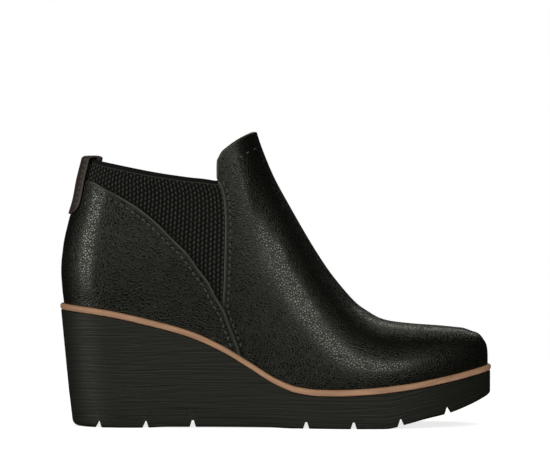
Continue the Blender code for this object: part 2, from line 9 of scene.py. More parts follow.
import bmesh
import bpy
import numpy as np
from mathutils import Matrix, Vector


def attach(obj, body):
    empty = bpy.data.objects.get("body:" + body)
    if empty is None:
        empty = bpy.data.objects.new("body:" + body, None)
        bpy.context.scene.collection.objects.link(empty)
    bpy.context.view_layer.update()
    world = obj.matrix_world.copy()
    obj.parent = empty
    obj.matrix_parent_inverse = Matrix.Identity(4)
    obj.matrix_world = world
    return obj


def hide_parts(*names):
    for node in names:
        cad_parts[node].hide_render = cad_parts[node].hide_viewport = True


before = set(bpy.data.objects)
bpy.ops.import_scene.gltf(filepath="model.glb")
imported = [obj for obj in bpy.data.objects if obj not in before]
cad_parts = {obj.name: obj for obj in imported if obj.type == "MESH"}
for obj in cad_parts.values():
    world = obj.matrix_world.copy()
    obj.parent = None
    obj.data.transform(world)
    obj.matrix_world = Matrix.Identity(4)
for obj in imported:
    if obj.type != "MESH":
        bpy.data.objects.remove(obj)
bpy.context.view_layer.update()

# Sizes of the last and the sole, in metres
SHOE_LENGTH = 0.246  # over the welt, from heel to toe
BALL_WIDTH = 0.091  # over the welt at the ball of the foot
HEEL_WIDTH = 0.066  # over the welt at the heel
HEEL_HEIGHT = 0.0702  # floor to the welt's top at the back
BALL_HEIGHT = 0.0221  # floor to the welt's top under the ball
TOE_RISE = 0.0131  # how much higher the welt's top ends at the toe
TOE_SPRING = 0.0184  # floor to the outsole's lower front edge
ARCH_LIFT = 0.0005  # floor to the outsole under the arch
WELT_THICKNESS = 0.0037  # the tan board
WELT_MARGIN_TOE = 0.0014  # how far the welt stands out past the upper
WELT_MARGIN_HEEL = 0.0034
WEDGE_BACK_LEAN = 0.0064  # how far the back of the wedge leans in, down to the floor
WEDGE_DRAFT_DEGREES = 2.5  # how much its sides lean in
WEDGE_SETBACK = 0.0004  # the wedge under the welt's edge
BACK_CORNER = 0.0045  # rounding of the wedge's lower back edge
TREAD_CORNER = 0.0014  # rounding of its other lower edges

# Sizes of the tread's cross grooves
GROOVE_PITCH = 0.0267
GROOVE_DEPTH = 0.0038
GROOVE_MOUTH = 0.0030
GROOVE_ROOF = 0.0010
HEEL_GROOVES = 3
HEEL_GROOVE_START = 0.0226  # from the back of the welt to the first groove
TOE_GROOVES = 4
TOE_GROOVE_START = 0.1401

# Sizes of the upper
SHAFT_HEIGHT = 0.0972  # welt's top at the back, to the peak of the front
TOE_BOX_HEIGHT = 0.0254  # the toe box over the welt
HEEL_LEAN = 0.0136  # how far the back leans forward at the collar
HEEL_ROUND_SEAT = 0.033  # length of the rounded heel, seen from above, at the seat
HEEL_ROUND_COLLAR = 0.045  # and at the collar
SIDE_BULGE = 0.0012  # how far the sides swell over the welt
UPPER_WALL = 0.0022  # leather and lining
LASTING_EDGE = 0.011  # the upper turned in over the midsole
LASTING_THICKNESS = 0.0020
GORE_WALL = 0.0014
GORE_RECESS = 0.0007  # the elastic lies below the leather's face
BACK_STRIP = 0.016  # leather left between the two gores, behind the tab
QUARTER_THICKNESS = 0.0011
QUARTER_LAP = 0.0035  # how far the quarter lies over the gore
INSOLE_THICKNESS = 0.0030
WINDOW_TIP = 0.004  # width of the gore's window at its lower end
TAB_WIDTH = 0.032
TAB_THICKNESS = 0.0012
TAB_DROP = 0.0315  # from the collar down to the tab's lower end, outside
TAB_INNER_DROP = 0.020  # and inside
GAP = 0.0003  # between pieces that meet

# How fine the surfaces are
ROWS = 44
FINE_TURN = 26  # stations round the heel and round the toe
ABOVE = 0.05  # how far a cutter reaches over the shoe

# The footbed, which is the welt's top: heel and toe are shares of the heel's and the toe's rise over the ball
FOOTBED = (
    ("along", "heel", "toe"),
    (0.00, 1.000, 0.00),
    (0.10, 0.936, 0.00),
    (0.20, 0.827, 0.00),
    (0.30, 0.686, 0.00),
    (0.38, 0.503, 0.00),
    (0.44, 0.318, 0.00),
    (0.50, 0.131, 0.00),
    (0.55, 0.033, 0.00),
    (0.60, 0.002, 0.00),
    (0.64, 0.000, 0.00),
    (0.70, 0.000, 0.05),
    (0.80, 0.000, 0.24),
    (0.90, 0.000, 0.58),
    (1.00, 0.000, 1.00),
)

# The tread: shares of the arch's lift and of the toe spring
TREAD = (
    ("along", "arch", "spring"),
    (0.00, 0.0, 0.00),
    (0.19, 0.0, 0.00),
    (0.25, 1.0, 0.00),
    (0.48, 1.0, 0.00),
    (0.54, 0.0, 0.00),
    (0.75, 0.0, 0.00),
    (0.80, 0.0, 0.14),
    (0.84, 0.0, 0.28),
    (0.90, 0.0, 0.46),
    (0.95, 0.0, 0.70),
    (1.00, 0.0, 1.00),
)

# The plan of the welt: heel and ball are shares of half the heel's and the ball's width,
# bend is the centre line's place towards the inner side, a share of the ball's width
PLAN = (
    ("along", "heel", "ball", "bend"),
    (0.00, 1.00, 0.000, 0.000),
    (0.18, 0.97, 0.000, 0.000),
    (0.30, 0.75, 0.115, -0.015),
    (0.38, 0.50, 0.295, -0.028),
    (0.45, 0.30, 0.470, -0.036),
    (0.55, 0.08, 0.745, -0.035),
    (0.66, 0.00, 0.965, -0.018),
    (0.74, 0.00, 1.000, 0.002),
    (0.80, 0.00, 0.985, 0.018),
    (0.88, 0.00, 0.960, 0.042),
    (0.95, 0.00, 0.930, 0.062),
    (1.00, 0.00, 0.900, 0.070),
)
TOE_ROUND_FROM = 0.70  # where the toe's rounding starts, along
TOE_ROUNDNESS = 2.3
HEEL_ROUNDNESS = 2.15

# The upper's cross sections: fullness is the power of the rounded section (2 is an ellipse),
# crest is the highest line's place towards the inner side, a share of the ball's width
SECTION = (
    ("along", "fullness", "crest"),
    (0.00, 2.0, 0.000),
    (0.35, 2.1, 0.000),
    (0.50, 2.1, 0.010),
    (0.62, 1.95, 0.025),
    (0.75, 2.1, 0.035),
    (0.90, 2.35, 0.055),
    (1.00, 2.5, 0.070),
)

# The front line of the upper over the footbed: shares of the toe box's height and of the shaft's rise over it
CREST = (
    ("along", "toe", "shaft"),
    (0.4330, 1.00, 1.185),
    (0.4557, 1.00, 1.000),
    (0.4752, 1.00, 0.900),
    (0.4984, 1.00, 0.807),
    (0.5285, 1.00, 0.711),
    (0.5606, 1.00, 0.600),
    (0.5947, 1.00, 0.478),
    (0.6325, 1.00, 0.352),
    (0.6801, 1.00, 0.220),
    (0.7118, 1.00, 0.159),
    (0.7492, 1.00, 0.106),
    (0.8049, 1.00, 0.070),
    (0.8797, 1.00, 0.026),
    (0.9167, 1.00, 0.000),
    (0.9354, 0.94, 0.000),
    (0.9541, 0.835, 0.000),
    (0.9728, 0.720, 0.000),
    (0.9874, 0.500, 0.000),
    (0.9915, 0.358, 0.000),
    (0.9927, 0.217, 0.000),
)
PEAK_ALONG = 0.4557

# The back of the upper: lean is a share of HEEL_LEAN, up a share of the shaft's height
BACK = (
    ("up", "lean", "breadth"),
    (0.00, 0.12, 1.000),
    (0.08, 0.05, 1.010),
    (0.19, 0.00, 1.010),
    (0.33, 0.09, 0.990),
    (0.47, 0.31, 0.960),
    (0.61, 0.60, 0.940),
    (0.72, 0.75, 0.935),
    (0.86, 1.00, 0.940),
    (1.00, 1.20, 0.950),
    (1.40, 1.60, 0.960),
)
BACK_FADE = 0.115  # how far forward the back's lean and the ankle's narrowing reach

# The collar and the seams, seen from the side: up is a share of the shaft's height over the heel seat
COLLAR = (
    ("along", "up"),
    (-0.10, 0.874),
    (0.053, 0.846),
    (0.083, 0.828),
    (0.159, 0.790),
    (0.228, 0.759),
    (0.302, 0.733),
    (0.339, 0.724),
    (0.367, 0.713),
)
FRONT_PANEL_TOP = (
    ("along", "up"),
    (0.3680, 0.713),
    (0.3680, 0.821),
    (0.3711, 0.844),
    (0.3785, 0.879),
    (0.3931, 0.911),
    (0.4138, 0.948),
    (0.4346, 0.976),
    (0.4557, 1.000),
    (0.4700, 1.014),
)
GORE_FRONT = (
    ("along", "up"),
    (0.3680, 0.713),
    (0.3805, 0.637),
    (0.3858, 0.511),
    (0.3858, 0.376),
    (0.3837, 0.149),
    (0.3815, 0.042),
    (0.3790, -0.030),
)
QUARTER_EDGE = (
    ("along", "up"),
    (-0.060, 0.745),
    (0.063, 0.711),
    (0.102, 0.670),
    (0.174, 0.565),
    (0.220, 0.474),
    (0.259, 0.376),
    (0.295, 0.285),
    (0.321, 0.192),
    (0.343, 0.121),
    (0.360, 0.035),
    (0.379, -0.044),
    (0.3915, -0.128),
    (0.401, -0.186),
    (0.412, -0.265),
    (0.430, -0.420),
)


def column(table, name):
    """One named column of a table."""
    place = table[0].index(name)
    return [row[place] for row in table[1:]]


def slopes(xs, ys):
    """Slopes for a curve through the points that never swings past them."""
    steps = [(ys[i + 1] - ys[i]) / (xs[i + 1] - xs[i]) for i in range(len(xs) - 1)]
    inner = []
    for before, after in zip(steps, steps[1:]):
        level = before * after <= 0
        inner.append(0.0 if level else 2 * before * after / (before + after))
    return [steps[0]] + inner + [steps[-1]]


def read(table, name, at, key="along"):
    """The column called name, read smoothly at a value of the key column."""
    xs = column(table, key)
    ys = column(table, name)
    at = min(max(at, xs[0]), xs[-1])
    i = min(bisect.bisect_right(xs, at), len(xs) - 1) - 1
    tilt = slopes(xs, ys)
    width = xs[i + 1] - xs[i]
    t = (at - xs[i]) / width
    return (
        ys[i] * (1 + 2 * t) * (1 - t) ** 2
        + tilt[i] * width * t * (1 - t) ** 2
        + ys[i + 1] * t * t * (3 - 2 * t)
        - tilt[i + 1] * width * t * t * (1 - t)
    )


def smooth_line(points, pieces):
    """A curve through points (x, z), each stretch cut into equal pieces."""
    ends = [points[0]] + list(points) + [points[-1]]
    line = []
    for a, b, c, d in zip(ends, ends[1:], ends[2:], ends[3:]):
        for k in range(pieces):
            t = k / pieces
            line.append(
                tuple(
                    b[n]
                    + 0.5 * t * (c[n] - a[n])
                    + t * t * (a[n] - 2.5 * b[n] + 2 * c[n] - 0.5 * d[n])
                    + t * t * t * (1.5 * b[n] - 1.5 * c[n] + 0.5 * d[n] - 0.5 * a[n])
                    for n in (0, 1)
                )
            )
    return line + [tuple(points[-1])]


def footbed(x):
    """Height of the welt's top at a distance x from the back."""
    along = x / SHOE_LENGTH
    heel = (HEEL_HEIGHT - BALL_HEIGHT) * read(FOOTBED, "heel", along)
    return BALL_HEIGHT + heel + TOE_RISE * read(FOOTBED, "toe", along)


def tread(x):
    """Height of the outsole's underside."""
    along = x / SHOE_LENGTH
    return ARCH_LIFT * read(TREAD, "arch", along) + TOE_SPRING * read(TREAD, "spring", along)


def closing(along, round_length, roundness=HEEL_ROUNDNESS):
    """How far the plan has opened out, from 0 at its two ends to 1 between them."""
    heel = min(along * SHOE_LENGTH / round_length, 1.0)
    toe = max(along - TOE_ROUND_FROM, 0.0) / (1 - TOE_ROUND_FROM)
    open_heel = max(1 - (1 - heel) ** roundness, 0.0) ** (1 / roundness)
    open_toe = max(1 - toe**TOE_ROUNDNESS, 0.0) ** (1 / TOE_ROUNDNESS)
    return open_heel * open_toe


def half_width(along):
    """Half the welt's width before its ends are rounded."""
    return HEEL_WIDTH / 2 * read(PLAN, "heel", along) + BALL_WIDTH / 2 * read(PLAN, "ball", along)


def plan_shift():
    """What centres the whole plan on the middle of the shoe."""
    reach = [0.0, 0.0]
    for step in range(101):
        along = step / 100
        half = half_width(along) * closing(along, HEEL_ROUND_SEAT)
        bend = BALL_WIDTH * read(PLAN, "bend", along)
        reach = [max(reach[0], half - bend), max(reach[1], half + bend)]
    return (reach[0] - reach[1]) / 2


SHIFT = plan_shift()


def centre_line(along):
    return BALL_WIDTH * read(PLAN, "bend", along) + SHIFT


def margin(along):
    """How far the upper's foot lies inside the welt's edge."""
    toe_part = min(max((along - 0.40) / 0.12, 0.0), 1.0)
    return WELT_MARGIN_HEEL + (WELT_MARGIN_TOE - WELT_MARGIN_HEEL) * toe_part


def make_stations():
    """Places along the shoe for every ring, closest together round the heel, the instep and the toe."""
    turn = [1 - math.cos(math.pi / 2 * k / FINE_TURN) for k in range(FINE_TURN)]
    heel = [0.15 * t for t in turn]
    toe = [1 - 0.12 * t for t in reversed(turn)]
    gap = 0.005
    rear = [0.15 + gap * k for k in range(57)]
    front = [0.433 + gap * k for k in range(90)]
    return heel + rear + [x for x in front if x < 0.88 - gap / 2] + [0.88] + toe


STATIONS = make_stations()
LAST = len(STATIONS) - 1


def lean_at(z):
    """How far forward the upper's back lies at height z, measured from where it meets the welt."""
    up = (z - HEEL_HEIGHT) / SHAFT_HEIGHT
    seat = column(BACK, "lean")[0]
    return HEEL_LEAN * (read(BACK, "lean", max(up, 0.0), "up") - seat)


def fade(x):
    return max(1 - x / BACK_FADE, 0.0) ** 2


def peak_height():
    return HEEL_HEIGHT + SHAFT_HEIGHT


def crest_points():
    """The upper's front line, seen from the side."""
    rise = peak_height() - footbed(PEAK_ALONG * SHOE_LENGTH) - TOE_BOX_HEIGHT
    line = []
    for along, toe, shaft in CREST[1:]:
        x = along * SHOE_LENGTH
        line.append((x, footbed(x) + TOE_BOX_HEIGHT * toe + rise * shaft))
    return smooth_line(line, 6)


CREST_LINE = crest_points()
SKINS = {}


def crest_at_inset(inset):
    """The front line moved in by inset, kept so that it is worked out once."""
    if inset not in SKINS:
        moved = []
        for k, (x, z) in enumerate(CREST_LINE):
            ahead = CREST_LINE[min(k + 1, len(CREST_LINE) - 1)]
            behind = CREST_LINE[max(k - 1, 0)]
            dx = ahead[0] - behind[0]
            dz = ahead[1] - behind[1]
            size = math.hypot(dx, dz)
            moved.append((x + dz / size * inset, z - dx / size * inset))
        kept = [moved[0]]
        for point in moved[1:]:
            if point[0] > kept[-1][0] + 1e-6:
                kept.append(point)
        SKINS[inset] = ([p[0] for p in kept], [p[1] for p in kept])
    return SKINS[inset]


def crest_height(x, inset):
    """Height of the front line at x, going on steeply behind the top of the front."""
    xs, zs = crest_at_inset(inset)
    if x <= xs[0]:
        slope = (zs[1] - zs[0]) / (xs[1] - xs[0])
        return zs[0] + (x - xs[0]) * slope
    i = min(bisect.bisect_right(xs, x), len(xs) - 1)
    t = (x - xs[i - 1]) / (xs[i] - xs[i - 1])
    return zs[i - 1] + min(t, 1.0) * (zs[i] - zs[i - 1])


def skin_ends(inset):
    """Where the skin starts at the back of the heel seat, and ends at the toe."""
    back = WELT_MARGIN_HEEL + inset
    return back, crest_at_inset(inset)[0][-1]


def skin_place(along, z, side, inset):
    """A point of the upper's skin. side is -1 for the outer side and 1 for the inner one."""
    back, front = skin_ends(inset)
    x = back + (front - back) * along
    up = min(max((z - HEEL_HEIGHT) / SHAFT_HEIGHT, 0.0), 1.0)
    base = footbed(x) + GAP
    crest = max(crest_height(x, inset), base + 1e-6)
    t = min(max((z - base) / (crest - base), 0.0), 1.0)
    power = read(SECTION, "fullness", along)
    shape = max(1 - t**power, 0.0) ** (1 / power)
    turn = HEEL_ROUND_SEAT + (HEEL_ROUND_COLLAR - HEEL_ROUND_SEAT) * up
    narrow = 1 + (read(BACK, "breadth", up, "up") - 1) * min(2 * fade(x), 1.0)
    bulge = SIDE_BULGE * 4 * t * (1 - t)
    half = ((half_width(along) - margin(along)) * narrow - inset + bulge) * closing(along, turn)
    edge = centre_line(along) + side * half
    ridge = BALL_WIDTH * read(SECTION, "crest", along) + SHIFT
    return x + lean_at(z) * fade(x), ridge + (edge - ridge) * shape, z


TOP_AT_BACK = 0.95


def skin_column(along, side, inset, lift):
    """Points up one column of the skin, from lift over the midsole to the front line or over the collar."""
    back, front = skin_ends(inset)
    x = back + (front - back) * along
    base = footbed(x) + GAP
    crest = crest_height(x, inset)
    first_open = crest_at_inset(inset)[0][0]
    top = crest
    if x < first_open:
        back_top = HEEL_HEIGHT + SHAFT_HEIGHT * TOP_AT_BACK
        peak = crest_height(first_open, inset)
        top = back_top + (peak - back_top) * (x - back) / (first_open - back)
    bottom = base + lift
    reach = math.asin(min((top - base) / (crest - base), 1.0))
    points = []
    for row in range(ROWS + 1):
        climb = math.sin(reach * row / ROWS) / math.sin(reach)
        points.append(skin_place(along, bottom + (top - bottom) * climb, side, inset))
    return points


def skin_loops(inset, lift):
    """The skin as closed loops, each round the shoe, from the lowest to the highest."""
    outer = [skin_column(along, -1, inset, lift) for along in STATIONS]
    inner = [skin_column(along, 1, inset, lift) for along in STATIONS]
    columns = outer + inner[-2:0:-1]
    return [[points[row] for points in columns] for row in range(ROWS + 1)]


def lasting_loop(inset, lift):
    """A loop of the edge that is turned in under the foot."""
    back, front = skin_ends(0.0)

    def drawn_in(along):
        return margin(along) + inset

    return plan_ring(back + inset, front - inset, drawn_in, lambda x: footbed(x) + GAP + lift)


def at_side(row):
    """A seam's point (x, z) from its shares."""
    return row[0] * SHOE_LENGTH, HEEL_HEIGHT + row[1] * SHAFT_HEIGHT


def seam_line(table, pieces=3):
    return smooth_line([at_side(row) for row in table[1:]], pieces)


def lowered(line, depth):
    """A seam line moved down by depth, square to itself."""
    moved = []
    for k, (x, z) in enumerate(line):
        ahead = line[min(k + 1, len(line) - 1)]
        behind = line[max(k - 1, 0)]
        size = math.hypot(ahead[0] - behind[0], ahead[1] - behind[1])
        moved.append(
            (x + (ahead[1] - behind[1]) / size * depth, z - (ahead[0] - behind[0]) / size * depth)
        )
    return moved


def window_outline(clear):
    """The gore's place, seen from the side, drawn in by clear. Its foot lies under the quarter."""
    tip = at_side(GORE_FRONT[-1])
    front = [(x - clear, z) for x, z in seam_line(GORE_FRONT)[1:-1]]
    front.append((tip[0] - clear, tip[1] + 3 * clear))
    edge = seam_line(QUARTER_EDGE)
    foot = lowered(edge, QUARTER_LAP - clear)
    foot = [low for low, (x, z) in zip(foot, edge) if x < tip[0] - WINDOW_TIP and z > tip[1]]
    high = peak_height() + ABOVE
    return [(foot[0][0], high), (front[0][0], high)] + front + foot[::-1]


def collar_outline():
    """Everything above the collar, seen from the side."""
    line = seam_line(COLLAR) + seam_line(FRONT_PANEL_TOP)[1:]
    high = peak_height() + ABOVE
    return line + [(line[-1][0] + 0.02, line[-1][1]), (line[-1][0] + 0.02, high), (line[0][0], high)]


def quarter_outline():
    """Everything behind and below the quarter's edge, seen from the side."""
    line = seam_line(QUARTER_EDGE)
    return line + [(line[-1][0], 0.0), (line[0][0], 0.0)]


LEATHER = 0.0011  # one layer of leather
LINING_DEPTH = 0.0013  # where the lining starts below the leather's face
QUARTER_FACE = -GAP - QUARTER_THICKNESS
STITCH_PITCH = 0.0038
STITCH_LENGTH = 0.0027
STITCH_RADIUS = 0.00048
# Size of the black lenses that paint the shade in the stitch holes
HOLE_LENGTH = 0.0016
HOLE_WIDTH = 0.0017
GORE_FACE = 0.00115  # the knit's ground below the leather's face
KNIT_WIDTH = 0.0021
KNIT_HEIGHT = 0.0028
KNIT_RELIEF = 0.0011
KNIT_LEAN = 0.22  # how much the cells lean, a share of their width
KNIT_STEP = 0.0004  # how fine the knit's surface is
GORE_HEM = 0.0022  # the flat band along the gore's top
GORE_REACH = 0.088  # how far down the knit goes
EDGE_RADIUS = 0.00085
GRAIN_SIZE = 0.00135
GRAIN_VALLEY = 0.20  # how wide the valleys are, a share of a grain
GRAIN_DEPTH = 0.00007
GRAIN_WOBBLE = 0.0005
HEM_DEPTH = 0.0083  # the smooth band along the front panel's top


def to_frame(points):
    return [(x - SHOE_LENGTH / 2, y, z) for x, y, z in points]


def finish_mesh(name, points, faces, material, node_slot, sharp=40.0):
    """A piece from points and faces, smooth shaded, riding on the shoe."""
    mesh = bpy.data.meshes.new(name)
    mesh.from_pydata(to_frame(points), [], faces)
    work = bmesh.new()
    work.from_mesh(mesh)
    bmesh.ops.remove_doubles(work, verts=work.verts, dist=1e-7)
    bmesh.ops.recalc_face_normals(work, faces=work.faces)
    work.to_mesh(mesh)
    work.free()
    mesh.shade_smooth()
    mesh.set_sharp_from_angle(angle=math.radians(sharp))
    piece = bpy.data.objects.new(name, mesh)
    bpy.context.collection.objects.link(piece)
    if material is not None:
        mesh.materials.append(material)
    if node_slot:
        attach(piece, "root")
    return piece


def grid_faces(rows, across, start=0):
    """Quads of a sheet of points, row after row."""
    faces = []
    for r in range(rows - 1):
        for c in range(across - 1):
            a = start + r * across + c
            faces.append((a, a + 1, a + across + 1, a + across))
    return faces


def ring_faces(rings):
    """Quads between closed rings of equally many points, as rows of point numbers."""
    faces = []
    for low, high in zip(rings, rings[1:]):
        count = len(low)
        for i in range(count):
            j = (i + 1) % count
            faces.append((low[i], low[j], high[j], high[i]))
    return faces


def plan_ring(back, front, inset, height, round_length=HEEL_ROUND_SEAT, stations=None):
    """A ring of the plan between x back and x front, drawn in by inset(along), at height(x)."""
    outer = []
    inner = []
    for along in stations or STATIONS:
        x = back + (front - back) * along
        half = (half_width(along) - inset(along)) * closing(along, round_length)
        outer.append((x, centre_line(along) - half, height(x)))
        inner.append((x, centre_line(along) + half, height(x)))
    return outer + inner[-2:0:-1]


def cap_faces(ring):
    half = len(ring) // 2
    faces = [(ring[0], ring[1], ring[-1]), (ring[half - 1], ring[half], ring[half + 1])]
    for k in range(1, half - 1):
        faces.append((ring[k], ring[k + 1], ring[-k - 1], ring[-k]))
    return faces


def shell_mesh(name, loops, material, node_slot):
    """A solid whose cross section is a closed round of loops, open where the skin isn't closed on itself."""
    points = [point for loop in loops for point in loop]
    count = len(loops[0])
    numbers = [list(range(k * count, (k + 1) * count)) for k in range(len(loops))]
    faces = ring_faces(numbers + [numbers[0]])
    corners = [frozenset(tuple(round(c, 7) for c in points[n]) for n in face) for face in faces]
    twice = {key for key, times in Counter(corners).items() if times > 1}
    kept = [face for face, key in zip(faces, corners) if len(key) > 2 and key not in twice]
    return finish_mesh(name, points, kept, material, node_slot)


def prism(name, outline, near, far):
    """A cutter: an outline seen from the side, drawn out from y near to y far."""
    count = len(outline)
    points = [(x, near, z) for x, z in outline] + [(x, far, z) for x, z in outline]
    faces = [tuple(range(count)), tuple(range(2 * count - 1, count - 1, -1))]
    faces += [(k, (k + 1) % count, count + (k + 1) % count, count + k) for k in range(count)]
    return finish_mesh(name, points, faces, None, None)


def cut(piece, cutters):
    """Cuts a piece for good and clears the cutters away."""
    for cutter, operation in cutters:
        modifier = piece.modifiers.new("cut", "BOOLEAN")
        modifier.operation = operation
        modifier.solver = "EXACT"
        modifier.object = cutter
    bpy.context.view_layer.update()
    graph = bpy.context.evaluated_depsgraph_get()
    mesh = bpy.data.meshes.new_from_object(piece.evaluated_get(graph))
    piece.modifiers.clear()
    old = piece.data
    piece.data = mesh
    bpy.data.meshes.remove(old)
    mesh.shade_smooth()
    mesh.set_sharp_from_angle(angle=math.radians(40))
    for cutter, _ in cutters:
        bpy.data.objects.remove(cutter)


def along_at(x, z, inset):
    """The place along the skin whose point lies at x and z, seen from the side."""
    back, front = skin_ends(inset)
    start = x
    for _ in range(6):
        start = x - lean_at(z) * fade(start)
    return min(max((start - back) / (front - back), 0.0), 1.0)


def on_skin(x, z, side, inset):
    """The point of the skin that shows at x and z from the side."""
    return skin_place(along_at(x, z, inset), z, side, inset)


def skin_normal(x, z, side, inset):
    """The way out of the skin there."""
    step = 0.0006
    a = Vector(on_skin(x - step, z, side, inset))
    b = Vector(on_skin(x + step, z, side, inset))
    c = Vector(on_skin(x, z - step, side, inset))
    d = Vector(on_skin(x, z + step, side, inset))
    normal = (b - a).cross(d - c)
    if normal.y * side < 0:
        normal.negate()
    return normal.normalized()


def even_line(points, step):
    """A line of points resampled evenly, about step apart, in as many dimensions as its points have."""
    lengths = [0.0]
    for p, q in zip(points, points[1:]):
        lengths.append(lengths[-1] + math.dist(p, q))
    count = max(int(round(lengths[-1] / step)), 1)
    line = []
    k = 0
    for n in range(count + 1):
        goal = lengths[-1] * n / count
        while k < len(points) - 2 and lengths[k + 1] < goal:
            k += 1
        span = lengths[k + 1] - lengths[k] or 1.0
        t = (goal - lengths[k]) / span
        line.append(tuple(a + (b - a) * t for a, b in zip(points[k], points[k + 1])))
    return line


def bead(name, seam, side, inset, radius, material, node_slot, flat=0.75):
    """The rolled edge of a panel: a round bead on the skin along a seam line (x, z)."""
    line = [on_skin(x, z, side, inset) for x, z in even_line(seam, 0.0009)]
    points = []
    turns = 10
    for k, place in enumerate(line):
        ahead = Vector(line[min(k + 1, len(line) - 1)])
        behind = Vector(line[max(k - 1, 0)])
        along = (ahead - behind).normalized()
        x, _, z = place
        out = skin_normal(x, z, side, inset)
        across = along.cross(out).normalized()
        size = radius * min(1.0, 0.35 + 0.3 * min(k, len(line) - 1 - k))
        for turn in range(turns):
            angle = 2 * math.pi * turn / turns
            offset = across * math.cos(angle) * size + out * math.sin(angle) * size * flat
            points.append(tuple(Vector(place) + offset))
    rings = [list(range(k * turns, (k + 1) * turns)) for k in range(len(line))]
    faces = ring_faces(rings) + [tuple(rings[0]), tuple(rings[-1])]
    return points, faces


def joined(name, parts, material, node_slot, sharp=60.0):
    """Many small meshes as one piece."""
    points = []
    faces = []
    for part_points, part_faces in parts:
        start = len(points)
        points += part_points
        faces += [tuple(n + start for n in face) for face in part_faces]
    return finish_mesh(name, points, faces, material, node_slot, sharp)


def stitch(place, along, out, length=STITCH_LENGTH, radius=STITCH_RADIUS):
    """One stitch: a thread that rises out of the leather and goes down again."""
    across = along.cross(out).normalized()
    turns = 6
    steps = 6
    points = []
    for k in range(steps + 1):
        t = k / steps
        bow = math.sin(math.pi * t)
        size = radius * (0.55 + 0.45 * bow)
        centre = place + along * (t - 0.5) * length + out * (radius * 1.15 * bow - radius * 0.55)
        for turn in range(turns):
            angle = 2 * math.pi * turn / turns
            points.append(tuple(centre + (across * math.cos(angle) + out * math.sin(angle)) * size))
    rings = [list(range(k * turns, (k + 1) * turns)) for k in range(steps + 1)]
    return points, ring_faces(rings) + [tuple(rings[0]), tuple(rings[-1])]


def painted_shade_lens(place, along, out):
    """Painted shade in the hole between two stitches: a flat black lens on the leather."""
    across = along.cross(out).normalized()
    points = [tuple(place + out * 0.00008)]
    turns = 10
    for turn in range(turns):
        angle = 2 * math.pi * turn / turns
        spread = across * math.cos(angle) * HOLE_WIDTH / 2 + along * math.sin(angle) * HOLE_LENGTH / 2
        points.append(tuple(place + spread - out * 0.00004))
    return points, [(0, 1 + turn, 1 + (turn + 1) % turns) for turn in range(turns)]


def stitch_row(seam, side, inset, pitch=STITCH_PITCH):
    """Stitches along a seam line (x, z) of the skin, and a black lens of painted shade at each stitch hole.
    """
    parts = []
    shade_lenses = []
    line = even_line(seam, pitch)
    for (x0, z0), (x1, z1) in zip(line, line[1:]):
        x, z = (x0 + x1) / 2, (z0 + z1) / 2
        place = Vector(on_skin(x, z, side, inset))
        out = skin_normal(x, z, side, inset)
        along = Vector(on_skin(x1, z1, side, inset)) - Vector(on_skin(x0, z0, side, inset))
        along = (along - out * along.dot(out)).normalized()
        parts.append(stitch(place, along, out))
        shade_lenses.append(painted_shade_lens(Vector(on_skin(x1, z1, side, inset)), along, out))
    return parts, shade_lenses


def new_material(name, colour, roughness):
    material = bpy.data.materials.new(name)
    material.use_nodes = True
    shader = material.node_tree.nodes["Principled BSDF"]
    shader.inputs["Base Color"].default_value = (*colour, 1.0)
    shader.inputs["Roughness"].default_value = roughness
    return material, material.node_tree.nodes, material.node_tree.links, shader


def node(nodes, kind, **values):
    """A shader node with its inputs set by name."""
    made = nodes.new(kind)
    for key, value in values.items():
        name = key.replace("_", " ")
        if name in made.inputs:
            made.inputs[name].default_value = value
        else:
            setattr(made, key, value)
    return made


